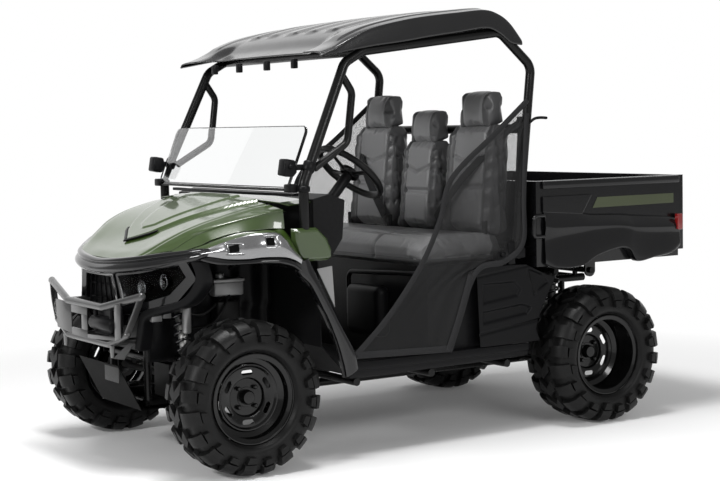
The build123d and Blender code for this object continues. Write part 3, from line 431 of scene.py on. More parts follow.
# %% Builders of the finishes
def finish(name, colour, rough=0.5, spread=0.06, metal=0.0, grain=900.0, bump=0.0, coat=0.0, coat_rough=0.05,
           edge=None, wear=0.0, variation=0.12, specular=0.5):
    """Principled finish: colour through the wear group, roughness and bump through the grain group."""
    material, make, shader = new_material(name)
    grain_node = make.add("ShaderNodeGroup", node_tree=grain_group)
    make.fill(grain_node, {"Scale": grain, "Rough": rough, "Spread": spread})
    edge = edge or [min(1, c * 2.5 + 0.03) for c in colour]
    wear_node = make.add("ShaderNodeGroup", node_tree=wear_group)
    make.fill(wear_node, {"Colour": (*colour, 1), "Edge": (*edge, 1), "Amount": wear, "Variation": variation})
    make.fill(shader, {"Base Color": wear_node.outputs["Colour"], "Metallic": metal,
                       "Roughness": grain_node.outputs["Roughness"], "Specular IOR Level": specular,
                       "Coat Weight": coat, "Coat Roughness": coat_rough})
    if bump:
        make.fill(shader, {"Normal": make.bump(grain_node.outputs["Height"], bump)})
    return material


def glassy(name, colour, rough=0.02, ior=1.49):
    """Clear or tinted sheet: plain transmission, so that it exports as it is."""
    material, make, shader = new_material(name)
    make.fill(shader, {"Base Color": (*colour, 1), "Roughness": rough, "Transmission Weight": 1.0,
                       "IOR": ior})
    return material


# %% [markdown]
# ### The vehicle's finishes
# The panels are a gloss olive green with a clear coat. The black parts are not one black: the brow is gloss,
# the mouldings have a pebble grain, the tubes are powder coated and the tyres are matt.

# %% Named finishes
paint = finish("green_paint", (0.030, 0.056, 0.009), rough=0.30, spread=0.05, grain=2400, bump=0.02, coat=1.0,
               coat_rough=0.04, variation=0.10)
gloss = finish("gloss_black", (0.004, 0.004, 0.0045), rough=0.16, spread=0.05, grain=1500, bump=0.02,
               coat=0.7, specular=0.2)
# fender face: the face is black; this silver metal colour is painted reflection, standing in for the bright
# light it reflects
painted_reflection = finish("fender_painted_reflection", (0.32, 0.32, 0.325), rough=0.20, spread=0.05, metal=0.9, coat=0.5)
moulding = finish("black_moulding", (0.005, 0.005, 0.0055), rough=0.36, spread=0.08, grain=700, bump=0.12,
                  wear=0.05, specular=0.13)
grained = finish("grained_moulding", (0.007, 0.007, 0.0075), rough=0.45, spread=0.08, grain=600, bump=0.22,
                 wear=0.05, specular=0.13)
powder = finish("powder_coat", (0.004, 0.004, 0.004), rough=0.28, spread=0.08, grain=1800, bump=0.12,
                wear=0.06, specular=0.24)
bed_black = finish("bed_black", (0.004, 0.004, 0.0045), rough=0.22, grain=1200, bump=0.05, coat=0.5,
                   coat_rough=0.08, specular=0.2)
wheel_black = finish("wheel_black", (0.003, 0.003, 0.003), rough=0.18, spread=0.08, grain=1500, bump=0.04,
                     coat=0.35, specular=0.2)
rubber = finish("tyre_rubber", (0.006, 0.006, 0.006), rough=0.40, spread=0.16, grain=420, bump=0.4, wear=0.25,
                edge=(0.022, 0.022, 0.022), variation=0.3, specular=0.2)
soft_rubber = finish("soft_rubber", (0.005, 0.005, 0.005), rough=0.42, bump=0.15, specular=0.2)
cast = finish("cast_metal", (0.05, 0.05, 0.05), spread=0.15, metal=0.7, grain=350, bump=0.35, wear=0.2,
              edge=(0.16, 0.16, 0.16))
bare = finish("bare_metal", (0.42, 0.42, 0.41), rough=0.34, spread=0.12, metal=0.9, grain=1200, bump=0.08)
silver = finish("silver_paint", (0.30, 0.30, 0.30), rough=0.38, spread=0.1, metal=0.6, grain=1500, bump=0.06)
spring_coat = finish("spring_coat", (0.007, 0.007, 0.008), rough=0.26, spread=0.08, bump=0.04, coat=0.5)
clear = glassy("clear_sheet", (0.97, 0.98, 0.98))
lamp_clear = glassy("lamp_cover", (0.70, 0.71, 0.72), rough=0.0, ior=1.08)
reflector = finish("reflector", (0.30, 0.30, 0.30), rough=0.14, metal=1.0)
matt_black = finish("matt_black", (0.003, 0.003, 0.003), rough=0.6, specular=0.05)
red_lens = finish("red_lens", (0.20, 0.006, 0.006), rough=0.15, coat=1.0, grain=300, bump=0.2)
roof_black = finish("roof_black", (0.005, 0.005, 0.0055), rough=0.24, spread=0.08, bump=0.08, coat=0.6,
                    specular=0.4)
# bumper: its tubes are black; this metallic grey is painted sheen, standing in for the light-grey highlights
# on them
tube_painted_sheen = finish("tube_painted_sheen", (0.10, 0.10, 0.10), rough=0.30, metal=0.8, grain=1800, bump=0.08, coat=0.3)
vinyl = finish("seat_vinyl", (0.230, 0.230, 0.234), rough=0.36, spread=0.08, grain=420, bump=0.20,
               variation=0.10)
bolster_vinyl = finish("bolster_vinyl", (0.070, 0.070, 0.072), rough=0.38, spread=0.08, grain=420, bump=0.2)
webbing = finish("webbing", (0.016, 0.016, 0.017), rough=0.75, grain=1400, bump=0.3, specular=0.3)
stripe = finish("stripe", (0.050, 0.062, 0.026), rough=0.3, coat=0.4)
print("finishes:", len(bpy.data.materials))

# %% [markdown]
# ## Pieces that keep their CAD shape
# Tubes, arms and brackets are already the right shape in the frame, so they only need their finish. The
# other nodes are replaced by the pieces that follow.

# %% Finishes of the CAD nodes that stay to be seen
CAD_FINISHES = [
    (powder, "frame pedals front_arms rear_arms hitch_receiver gate_hinges"),
    (grained, "floor dash"),
    (moulding, "radiator hood_hinges seat_base steering_column shift_lever"),
    (matt_black, "skid_plate"),
    (paint, "cowl"),
    (cast, "steering_rack front_drive rear_carriers rear_drive engine knuckle_left knuckle_right"),
    (bare, "muffler tie_rods"),
    (bed_black, "cargo_bed tailgate"),
]
finish_of = {node: made for made, nodes in CAD_FINISHES for node in nodes.split()}
for node, piece in NODES.items():
    piece.data.materials.clear()
    piece.data.materials.append(finish_of.get(node, moulding))

# %% [markdown]
# ## Wheels
# The tread is what makes these tyres, and it is all repeats: one block, bent over the shoulder of the carcass
# and copied round it. So the blocks of a tyre are one array of corner points, laid out in the tread's own two
# coordinates, distance across and angle round, and mapped onto the carcass in one go.

# %% Section of a tyre
WHEEL_SIDES = {"front_left": 1, "front_right": -1, "rear_left": 1, "rear_right": -1}
LUG_DEPTH = 0.021
PITCHES = 10


def carcass_line(half, radius, flange, across):
    """Half carcass between middle and bead: (distance out, radius) where the line is `across` long.
    The line is the cubic through seven points of the tyre's section, walked by its own length."""
    knots = [(0, radius), (0.45 * half, radius - 0.001), (0.78 * half, radius - 0.006),
             (0.94 * half, radius - 0.024), (half, radius - 0.058), (0.985 * half, radius - 0.088),
             (half - 0.024, flange + 0.004)]
    line = line_through(knots, 160)
    length = np.concatenate([[0], np.cumsum(np.linalg.norm(np.diff(line, axis=0), axis=1))])

    def at(distance):
        return np.stack([np.interp(distance, length, column) for column in line.T], axis=-1)

    run = unit(at(across + 1e-3) - at(across - 1e-3))
    return at(across), np.stack([-run[..., 1], run[..., 0]], axis=-1), length[-1]


def on_wheel(size, side, across, angle, lift):
    """Points of a tyre: across the tread, round it, and lifted off the carcass along its normal."""
    centre, radius, half, flange = size
    place, normal, _ = carcass_line(half, radius - LUG_DEPTH, flange, np.abs(across))
    x = np.where(across < 0, -1, 1) * (place[..., 0] + normal[..., 0] * lift)
    r = place[..., 1] + normal[..., 1] * lift
    return np.stack(np.broadcast_arrays(centre[0] + side * x, centre[1] + r * np.sin(angle),
                                        centre[2] + r * np.cos(angle)), axis=-1)


# %% Tread blocks
# corners of one pitch's blocks, as (across in mm, share of a pitch): front and rear of the inner end, then
# rear and front of the outer end
TREAD_BLOCKS = np.array([
    ((-4, 0.00), (-2, 0.22), (30, 0.46), (40, 0.22)),
    ((6, 0.56), (0, 0.76), (38, 0.98), (46, 0.74)),
    ((54, 0.06), (48, 0.36), (122, 0.40), (126, 0.08)),
    ((60, 0.60), (54, 0.82), (112, 0.88), (114, 0.58)),
    ((129, 0.10), (127, 0.36), (152, 0.32), (152, 0.12)),
    ((118, 0.60), (118, 0.84), (138, 0.82), (138, 0.62)),
])
# grid of one block: shares along and across it; its rim lies in the carcass and is wider than its top
ALONG = np.array([0, 0, 0.04, 0.25, 0.5, 0.75, 0.96, 1, 1])[:, None]
ACROSS = np.array([0, 0, 0.08, 0.5, 0.92, 1, 1])[None, :]
BLOCK_RIM = (np.arange(9)[:, None] % 8 == 0) | (np.arange(7)[None, :] % 6 == 0)
TABLE_HALF = 0.1085   # half width of the tyre that the block table was read from


def tread_blocks(size, side, ground):
    """All blocks of a tyre: both halves of the tread, half a pitch apart, repeated round it."""
    half = size[2]
    left = TREAD_BLOCKS * [1e-3 * half / TABLE_HALF, 1]
    corners = np.concatenate([left, left * [-1, 1] + [0, 0.5]])
    middle = corners.mean(axis=1, keepdims=True)
    weight = np.stack([(1 - ALONG) * (1 - ACROSS), (1 - ALONG) * ACROSS,
                       ALONG * ACROSS, ALONG * (1 - ACROSS)], axis=-1)
    top, foot = (np.einsum("ijk,bkc->bijc", weight, middle + (corners - middle) * wide) for wide in (1, 1.14))
    flat = np.where(BLOCK_RIM[None, ..., None], foot, top)[None]
    turns = (np.arange(PITCHES)[:, None, None, None] + flat[..., 1]) * 2 * pi / PITCHES
    lift = np.where(BLOCK_RIM, -0.004, LUG_DEPTH - 0.0006)
    grid = on_wheel(size, side, np.broadcast_to(flat[..., 0], turns.shape), turns, lift)
    grid[..., 2] = np.maximum(grid[..., 2], ground + 0.0002)
    points, count = BLOCK_RIM.size, grid.shape[0] * grid.shape[1]
    faces = grid_faces(*BLOCK_RIM.shape)[None] + points * np.arange(count)[:, None, None]
    return tidy_normals(mesh_object("blocks", grid, faces.reshape(-1, 4).tolist()))


def make_tyre(place, side):
    """Carcass from bead to bead and back inside, with its blocks."""
    low, high = box_of("tyre_" + place)
    rim_low, rim_high = box_of("rim_" + place)
    flange = (rim_high[2] - rim_low[2]) / 2
    size = ((low + high) / 2, (high[2] - low[2]) / 2, (high[0] - low[0]) / 2, flange)
    total = carcass_line(size[2], size[1] - LUG_DEPTH, flange, np.array(0.0))[2]
    across = np.linspace(-total, total, 61)[None, :]
    angle = circle(144)[:, None]
    # rings on the side wall near the bead
    from_bead = np.abs(across) - total
    rings = 0.0012 * np.maximum(0, np.cos((from_bead + 0.022) * 2 * pi / 0.012)) * (from_bead > -0.03)
    outside = on_wheel(size, side, across, angle, rings)
    inside = on_wheel(size, side, across[:, ::-1], angle, -0.010)
    section = np.concatenate([outside, inside], axis=1)
    carcass = grid_object("carcass", section, wrap_rows=True, wrap_columns=True)
    blocks = tread_blocks(size, side, low[2])
    blocks.data.set_sharp_from_angle(angle=radians(40))
    tyre = join([tidy_normals(carcass), blocks], "tread_" + place)
    settle(tyre, rubber, "wheel_" + place, "tyre_" + place, crease=42)
    return len(tyre.data.polygons)


print("tyre faces:", {place: make_tyre(place, side) for place, side in WHEEL_SIDES.items()})

# %% [markdown]
# The rims are pressed steel: a stepped barrel, a dished disc with six slots, and a hub that the disc is
# bolted to with four nuts. The rear disc sits far deeper than the front one, because the rear rim is wider.
# The sections are turned round the axle as arrays, and a boolean cuts only the slots.

# %% Rims
DISC_DEPTH = {"front": 0.066, "rear": 0.146}
RIM_WALL, SLOT_RADIUS, BOLT_RADIUS = 0.0035, 0.101, 0.054


def barrel_profile(inner, outer, disc, flange):
    """Closed section of the barrel as (distance out, radius): flanges, bead seats and the drop centre."""
    seat, well = flange - 0.017, flange - 0.046
    skin = [(inner, flange), (inner + 0.006, flange + 0.001), (inner + 0.010, seat),
            (inner + 0.034, seat - 0.003), (inner + 0.046, well), (disc + 0.012, well),
            (disc + 0.026, seat - 0.004), (outer - 0.010, seat), (outer - 0.006, flange + 0.001),
            (outer, flange)]
    back = [(x, r - RIM_WALL) for x, r in skin[1:-1]]
    return skin + [(outer + 0.0005, flange - RIM_WALL)] + back[::-1] + [(inner - 0.0005, flange - RIM_WALL)]


def slotted_dish(disc, well, centre, side):
    """Dished disc: an outer lip, a flat face with six slots, a pressed step and the bolt circle."""
    face = [(disc + 0.020, well - 0.001), (disc + 0.020, well - 0.006), (disc + 0.012, well - 0.014),
            (disc + 0.010, 0.082), (disc + 0.008, 0.079), (disc - 0.004, 0.074), (disc - 0.004, 0.034)]
    dish = turned(face + [(x - 0.005, r) for x, r in face[::-1]], centre, side, 112)
    arc = circle(24)
    along, tall = 0.016 * np.sign(np.cos(arc)) + 0.010 * np.cos(arc), SLOT_RADIUS + 0.010 * np.sin(arc)
    slots = []
    for turn in np.arange(6) * pi / 3:
        outline = np.stack([centre[1] + tall * sin(turn) + along * cos(turn),
                            centre[2] + tall * cos(turn) - along * sin(turn)], axis=-1)
        slots.append(plate(outline, side * (disc - 0.03), side * (disc + 0.04)))
    cutter = tidy_normals(join(slots, "slots"))
    modify(dish, "BOOLEAN", operation="DIFFERENCE", object=cutter, solver="EXACT")
    bpy.context.view_layer.update()
    cut = join([dish], "dish")
    bpy.data.objects.remove(cutter)
    return tidy_normals(cut)


def make_rim(place, side):
    """Barrel, dish, hub and nuts of one wheel."""
    low, high = box_of("rim_" + place)
    tyre_low, tyre_high = box_of("tyre_" + place)
    centre, flange = (low + high) / 2, (high[2] - low[2]) / 2
    reach, middle = (tyre_high[0] - tyre_low[0]) / 2 - 0.020, abs(tyre_high[0] + tyre_low[0]) / 2
    inner, outer, hub_face = middle - reach, middle + reach, min(abs(low[0]), abs(high[0]))
    disc = outer - DISC_DEPTH[place.split("_")[0]]
    hub = [(hub_face, 0.0), (hub_face, 0.045), (disc - 0.010, 0.045), (disc - 0.002, 0.040),
           (disc - 0.002, 0.031), (disc + 0.018, 0.029), (disc + 0.024, 0.024), (disc + 0.025, 0.0)]
    nut = [(disc - 0.004, 0.0), (disc - 0.004, 0.0105), (disc + 0.010, 0.0095), (disc + 0.014, 0.006),
           (disc + 0.014, 0.0)]
    pieces = [turned(barrel_profile(inner, outer, disc, flange), centre, side, 112),
              slotted_dish(disc, flange - 0.048, centre, side), turned(hub, centre, side, 48, ring=False)]
    for turn in (np.arange(4) + 0.5) * pi / 2:
        bolt = centre + [0, BOLT_RADIUS * sin(turn), BOLT_RADIUS * cos(turn)]
        pieces.append(turned(nut, bolt, side, 12, ring=False))
    rim = settle(join(pieces, "steel_rim_" + place), wheel_black, "wheel_" + place, "rim_" + place, crease=35)
    return len(rim.data.polygons)


print("rim faces:", {place: make_rim(place, side) for place, side in WHEEL_SIDES.items()})

# %% [markdown]
# ## Hood
# The hood is one moulding whose cross-section has three creases a side: the ridge of its top, the upper edge
# of its steep side and its lower edge. Each row of the table is one station, from the middle outwards, and
# two near points make a crease crisp. A raised tongue with a V-shaped nose is added as a step whose edge lies
# at a given distance from the middle.

# %% Hood surface
def mirror_rows(half):
    """Rows given from the middle to the left side, completed to the right side."""
    half = np.asarray(half, float)
    return np.concatenate([half[:, :0:-1] * [-1, 1, 1], half], axis=1)


# x, y, z from the middle: flat top (3), ridge, band, upper edge of the side (2), lower edge
HOOD_ROWS = [
    [(0, -1.317, 0.866), (0.100, -1.316, 0.868), (0.200, -1.306, 0.874), (0.290, -1.284, 0.886),
     (0.358, -1.246, 0.897), (0.410, -1.197, 0.907), (0.415, -1.193, 0.905), (0.444, -1.177, 0.903)],
    [(0, -1.285, 0.888), (0.100, -1.284, 0.889), (0.200, -1.272, 0.894), (0.305, -1.255, 0.903),
     (0.372, -1.218, 0.913), (0.426, -1.167, 0.928), (0.430, -1.165, 0.922), (0.461, -1.153, 0.910)],
    [(0, -1.240, 0.908), (0.120, -1.236, 0.910), (0.230, -1.225, 0.918), (0.325, -1.222, 0.925),
     (0.392, -1.186, 0.935), (0.440, -1.136, 0.948), (0.444, -1.136, 0.941), (0.479, -1.127, 0.920)],
    [(0, -1.180, 0.936), (0.130, -1.178, 0.938), (0.250, -1.172, 0.948), (0.355, -1.169, 0.958),
     (0.420, -1.140, 0.962), (0.457, -1.101, 0.970), (0.461, -1.101, 0.962), (0.501, -1.095, 0.933)],
    [(0, -1.100, 0.979), (0.140, -1.100, 0.981), (0.280, -1.100, 0.988), (0.400, -1.099, 0.995),
     (0.454, -1.082, 0.993), (0.486, -1.057, 0.991), (0.490, -1.057, 0.982), (0.526, -1.066, 0.951)],
    [(0, -1.000, 1.026), (0.150, -1.000, 1.027), (0.300, -1.000, 1.030), (0.440, -1.000, 1.032),
     (0.488, -0.985, 1.027), (0.528, -0.968, 1.021), (0.532, -0.968, 1.011), (0.562, -0.975, 0.976)],
    [(0, -0.860, 1.074), (0.160, -0.860, 1.074), (0.320, -0.860, 1.072), (0.460, -0.860, 1.068),
     (0.514, -0.851, 1.059), (0.568, -0.843, 1.050), (0.572, -0.843, 1.040), (0.590, -0.846, 0.986)],
    [(0, -0.775, 1.098), (0.160, -0.775, 1.097), (0.320, -0.775, 1.092), (0.460, -0.775, 1.082),
     (0.522, -0.770, 1.072), (0.594, -0.772, 1.062), (0.598, -0.772, 1.052), (0.610, -0.773, 0.984)],
]
# y of a station, and half the width there of the tongue, of the panel on it and of the ridge's lines
TONGUE = ([-1.204, -1.140, -1.085, -1.020, -0.985, -0.900, -0.775],
          [0.0, 0.120, 0.180, 0.240, 0.270, 0.330, 0.400])
TOP_PANEL = [-1.130, -1.100, -1.000, -0.900, -0.775], [0.0, 0.070, 0.140, 0.190, 0.240]
RIDGE = [-1.28, -1.20, -1.10, -1.00, -0.86, -0.775], [0.30, 0.345, 0.402, 0.445, 0.465, 0.465]
surface = net(mirror_rows(HOOD_ROWS), 190, 260)
out, y = np.abs(surface[..., 0]), surface[..., 1].copy()
for (stations, halves), height, ramp in ((TONGUE, 0.012, 0.010), (TOP_PANEL, 0.006, 0.012)):
    inside = np.where(y > stations[0], np.interp(y, stations, halves) - out, -1)
    surface[..., 2] += height * step_up(inside, ramp)
# a crisp line along the top's ridge: a shallow groove just outside it
surface[..., 2] -= 0.003 * np.exp(-((out - np.interp(y, *RIDGE) - 0.004) / 0.009)**2)
settle(panel("hood_skin", surface, 0.004), paint, "hood", "hood")
# a black strip along the foot of the tongue's V-lip stands in for the shade in the opening under it: painted
# shade
nose_y = np.linspace(-1.120, -1.200, 24)
v_y = np.concatenate([nose_y, [-1.208], nose_y[::-1]])
v_x = np.interp(v_y, *TONGUE) * np.concatenate([-np.ones(24), [0], np.ones(24)])
v_z = np.interp(v_y, [-1.240, -1.180, -1.100], [0.909, 0.937, 0.980]) + 0.0055
v_line = np.stack([v_x * 1.02, v_y - 0.003, v_z], axis=1)
settle(strap(v_line, 0.012, 0.006, (0, -0.5, 0.9), "intake_painted_shade"), moulding, "hood")
print("hood:", surface.shape)

# %% Hood hinge leaves
HOOD_PIN = (-0.762, 1.076)
leaves = []
for x in (0.4, -0.4):
    leaves.append(block((x - 0.014, -0.799, 1.071), (x + 0.014, -0.762, 1.081), 0.002))
    leaves.append(bar([(x - 0.014, *HOOD_PIN), (x + 0.014, *HOOD_PIN)], 0.010))
settle(join(leaves, "hood_leaves"), powder, "hood")
print("hinge leaf parts:", len(leaves))

# %% [markdown]
# ## Fenders
# Each front fender has a green shoulder that carries on from the hood's edge, a face below it, and a
# lip round the wheel arch that runs on down to the sill as a strip. The face is black, but its finish is a
# silver metal: painted reflection, standing in for the bright light that the black face reflects. One table
# of stations, like the hood's, gives all three their shape, so they share the edges where they meet.

# %% Fender shoulder, face and lip
# y, edge of the hood (x, z), top of the face (x, z), foot of the face (x, z), lip under it (x, z)
FENDER_ROWS = [
    (-1.135, (0.473, 0.917), (0.528, 0.901), (0.538, 0.895), (0.530, 0.875)),
    (-1.088, (0.507, 0.937), (0.575, 0.926), (0.588, 0.886), (0.584, 0.858)),
    (-1.045, (0.534, 0.957), (0.616, 0.947), (0.630, 0.878), (0.626, 0.853)),
    (-0.980, (0.560, 0.975), (0.654, 0.967), (0.668, 0.877), (0.666, 0.856)),
    (-0.927, (0.572, 0.980), (0.678, 0.974), (0.693, 0.882), (0.691, 0.857)),
    (-0.859, (0.587, 0.985), (0.688, 0.973), (0.702, 0.880), (0.700, 0.854)),
    (-0.819, (0.597, 0.985), (0.690, 0.945), (0.703, 0.875), (0.701, 0.846)),
    (-0.780, (0.608, 0.984), (0.688, 0.900), (0.700, 0.862), (0.699, 0.832)),
    (-0.748, (0.612, 0.952), (0.684, 0.872), (0.692, 0.845), (0.694, 0.812)),
]
PADS = ((-1.024, 0.918), (-0.884, 0.944))   # y and z of the two square recesses in the face


def station(y, points):
    """Points (x, z) of one station along the vehicle, as places."""
    return [(x, y, z) for x, z in points]


shoulder_rows, face_rows, lip_rows = [], [], []
for y, edge, top, foot, low in FENDER_ROWS:
    (edge_x, edge_z), (top_x, top_z), (foot_x, foot_z), (lip_x, lip_z) = edge, top, foot, low
    shoulder_rows.append(station(y, [(edge_x - 0.012, edge_z - 0.006), (edge_x, edge_z - 0.004),
                                     ((edge_x + top_x) / 2, (edge_z + top_z) / 2 + 0.005),
                                     (top_x - 0.005, top_z + 0.002), top]))
    belly = ((top_x + foot_x) / 2 + 0.012, (top_z + foot_z) / 2)
    face_rows.append(station(y, [top, (top_x + 0.008, top_z - 0.010), belly, (foot_x + 0.002, foot_z)]))
    lip_rows.append(station(y, [(foot_x - 0.014, foot_z), (foot_x - 0.004, foot_z - 0.006), low,
                                (lip_x - 0.05, lip_z + 0.004)]))
face_grid = net(face_rows, 140, 60)
# two shallow square recesses: distance inside each square, in the face's own y and height
for pad_y, pad_z in PADS:
    reach = 0.030 - np.maximum(np.abs(face_grid[..., 1] - pad_y), np.abs(face_grid[..., 2] - pad_z) * 1.3)
    face_grid[..., 0] -= 0.013 * step_up(reach, 0.007)
shoulder = panel("shoulder", net(shoulder_rows, 90, 40), 0.004)
face = panel("fender_face", face_grid, 0.004)
lip = panel("fender_lip", net(lip_rows, 90, 18), 0.004)
# a pad in each recess: a patch of the face, lifted a little
pads = []
for pad_y, pad_z in PADS:
    line_y = face_grid[:, 30, 1]
    line_z = face_grid[np.abs(line_y - pad_y).argmin(), :, 2]
    patch = face_grid[np.ix_(np.abs(line_y - pad_y) < 0.018, np.abs(line_z - pad_z) < 0.015)]
    pads.append(grid_object("pad", patch + [0.006, -0.002, 0]))
pad = join(pads, "fender_pads")
modify(pad, "SOLIDIFY", thickness=0.002, offset=-1.0)

# %% Strip from the fender to the sill
# front edge (y, z) and rear edge (y, z), from the fender down
STRIP_EDGES = [
    ((-0.748, 0.850), (-0.700, 0.862)), ((-0.741, 0.800), (-0.676, 0.812)),
    ((-0.690, 0.745), (-0.632, 0.725)), ((-0.640, 0.655), (-0.590, 0.650)),
    ((-0.610, 0.598), (-0.560, 0.592)), ((-0.570, 0.505), (-0.518, 0.518)),
    ((-0.540, 0.410), (-0.482, 0.450)), ((-0.529, 0.352), (-0.468, 0.384)),
]
strip_rows = [[(0.640, front_y, front_z - 0.004), (0.676, front_y, front_z),
               (0.684, (front_y + rear_y) / 2, (front_z + rear_z) / 2), (0.674, rear_y, rear_z),
               (0.640, rear_y, rear_z + 0.002)] for (front_y, front_z), (rear_y, rear_z) in STRIP_EDGES]
strip = panel("arch_strip", net(strip_rows, 80, 30), 0.004)
for piece, material in ((shoulder, paint), (face, painted_reflection), (lip, gloss), (strip, gloss),
                        (tidy_normals(pad), matt_black)):
    settle(piece, material, node="front_fenders", both=True)
print("fender face:", face_grid.shape, "strip stations:", len(strip_rows))

# %% [markdown]
# ## Nose
# Under the hood a two-tier gloss lip runs round the nose. Below it the front panel holds a trapezoid grille
# in the middle and a deep lamp recess to each side. The lip could be an extruded curve, but its section
# shrinks towards its ends, so it is a grid: the section times that share, carried along a line.

# %% Brow: a section of two rounded tiers, carried round the nose
BROW_LINE = [(0.573, -1.099, 0.907), (0.522, -1.143, 0.896), (0.458, -1.189, 0.883), (0.378, -1.243, 0.869),
             (0.290, -1.295, 0.856), (0.160, -1.330, 0.844), (0.000, -1.338, 0.836)]
# distance forward of the line and height over it
BROW_SECTION = [(-0.030, 0.026), (-0.006, 0.029), (0.006, 0.024), (0.010, 0.014), (0.006, 0.007),
                (0.012, 0.003), (0.020, -0.008), (0.022, -0.020), (0.016, -0.031), (0.004, -0.037),
                (-0.030, -0.034)]
brow_path = line_through(BROW_LINE + [(-x, y, z) for x, y, z in BROW_LINE[-2::-1]], 140)
section = line_through(BROW_SECTION, 44)
run = unit(np.gradient(brow_path, axis=0)[:, :2])
forward = np.stack([run[:, 1], -run[:, 0], np.zeros(len(run))], axis=1)
forward *= -np.sign(forward[:, 1:2])
swell = np.interp(np.abs(brow_path[:, 0]), [0, 0.40, 0.54, 0.59], [1.0, 1.0, 0.72, 0.30])[:, None, None]
brow_grid = brow_path[:, None] + swell * (section[None, :, :1] * forward[:, None]
                                          + section[None, :, 1:] * np.array([0, 0, 1.0]))
brow_skin = tidy_normals(grid_object("brow_skin", brow_grid, wrap_columns=True, caps=True))
settle(brow_skin, gloss, node="brow")
print("brow:", brow_grid.shape)


# %% Front panel: frame of the grille, cheeks round the lamps and jaws under them
def tuck(piece):
    """Narrow the nose towards its corners: beyond 0.2 m from the middle, 15 % in and 8 % back."""
    points = triples(piece.data.vertices)
    beyond = np.maximum(points[:, 0] - 0.2, 0)
    move_to(piece, points + beyond[:, None] * [-0.15, 0.083, 0])
    return piece


def outline_skin(name, outer, hole, depth):
    """Panel between two closed outlines of as many points each, with a lip turned back from the inner one."""
    outer, hole = np.array(outer), np.array(hole)
    back = hole + [0, depth, 0]
    grid = np.stack([outer, outer * 0.25 + hole * 0.75, hole, hole * 0.7 + back * 0.3, back])
    return soften(panel(name, grid, 0.004, wrap_columns=True))


# outlines of the left cheek, from the top inner corner outwards: the panel's, then the lamp recess's
CHEEK = [(0.140, -1.338, 0.806), (0.330, -1.312, 0.826), (0.560, -1.205, 0.870), (0.560, -1.160, 0.792),
         (0.475, -1.205, 0.700), (0.330, -1.298, 0.655), (0.250, -1.310, 0.640), (0.190, -1.322, 0.640)]
RECESS = [(0.185, -1.330, 0.800), (0.335, -1.304, 0.815), (0.520, -1.218, 0.852), (0.525, -1.190, 0.802),
          (0.450, -1.228, 0.728), (0.330, -1.296, 0.690), (0.255, -1.314, 0.690), (0.215, -1.322, 0.692)]
# left halves of the grille's two outlines, from the top down
GRILLE_OUTER = [(0.160, -1.342, 0.806), (0.200, -1.334, 0.640), (0.150, -1.322, 0.560)]
GRILLE_INNER = [(0.128, -1.336, 0.792), (0.168, -1.326, 0.650), (0.118, -1.312, 0.585)]
outer, inner = ([(-half[0][0], *half[0][1:])] + half + [(-x, y, z) for x, y, z in half[:0:-1]]
                for half in (GRILLE_OUTER, GRILLE_INNER))
JAW_ROWS = [[(0.565, -1.190, 0.872), (0.585, -1.160, 0.866), (0.588, -1.120, 0.870)],
            [(0.560, -1.165, 0.795), (0.582, -1.140, 0.780), (0.585, -1.100, 0.775)],
            [(0.500, -1.195, 0.712), (0.520, -1.170, 0.695), (0.520, -1.130, 0.690)],
            [(0.420, -1.255, 0.680), (0.435, -1.235, 0.660), (0.430, -1.190, 0.655)],
            [(0.340, -1.300, 0.655), (0.350, -1.285, 0.630), (0.340, -1.240, 0.625)],
            [(0.315, -1.310, 0.590), (0.325, -1.290, 0.570), (0.320, -1.245, 0.565)],
            [(0.285, -1.310, 0.500), (0.295, -1.290, 0.490), (0.290, -1.240, 0.490)]]
for piece, material in ((outline_skin("cheek", CHEEK, RECESS, 0.09), gloss),
                        (outline_skin("grille_frame", outer, inner, 0.05), gloss),
                        (panel("jaw", net(JAW_ROWS, 60, 14), 0.004), moulding)):
    settle(tidy_normals(tuck(piece)), material, node="fascia", both=piece.name != "grille_frame")
print("points of the cheek's outline:", len(CHEEK))

# %% Lamps: reflector bowls behind a clear cover
# foot and top of each row, outwards
COVER = [[(0.200, -1.318, 0.694), (0.200, -1.320, 0.798)], [(0.335, -1.288, 0.696), (0.335, -1.292, 0.812)],
         [(0.445, -1.226, 0.730), (0.445, -1.240, 0.838)], [(0.520, -1.186, 0.800), (0.520, -1.204, 0.852)]]
LAMP_BACK = [[(0.190, -1.235, 0.670), (0.190, -1.240, 0.820)],
             [(0.360, -1.205, 0.680), (0.360, -1.210, 0.830)],
             [(0.530, -1.140, 0.720), (0.530, -1.150, 0.860)]]
BOWLS = ((0.285, -1.262, 0.750, 0.034), (0.392, -1.215, 0.778, 0.032))   # x, y, z and radius
lamp_cover = panel("lamp_cover", net(COVER, 30, 10), 0.003)
depth, turn = np.linspace(0, 1, 14), circle(40)[:, None]
bowls = []
for x, y, z, size in BOWLS:
    radius = size * np.sqrt(depth + 0.02)
    rings = np.broadcast_arrays(x + radius * np.cos(turn), y + 0.045 - 0.055 * depth,
                                z + radius * np.sin(turn))
    bowls.append(grid_object("bowl", np.stack(rings, axis=-1), wrap_rows=True))
bowl = join(bowls, "lamp_bowls")
modify(bowl, "SOLIDIFY", thickness=0.002, offset=-1.0)
for piece, material in ((lamp_cover, lamp_clear), (bowl, reflector),
                        (panel("lamp_back", net(LAMP_BACK, 12, 4), 0.004), matt_black)):
    settle(tidy_normals(tuck(piece)), material, node="headlamps", both=True)
print("lamp bowls a side:", len(BOWLS))

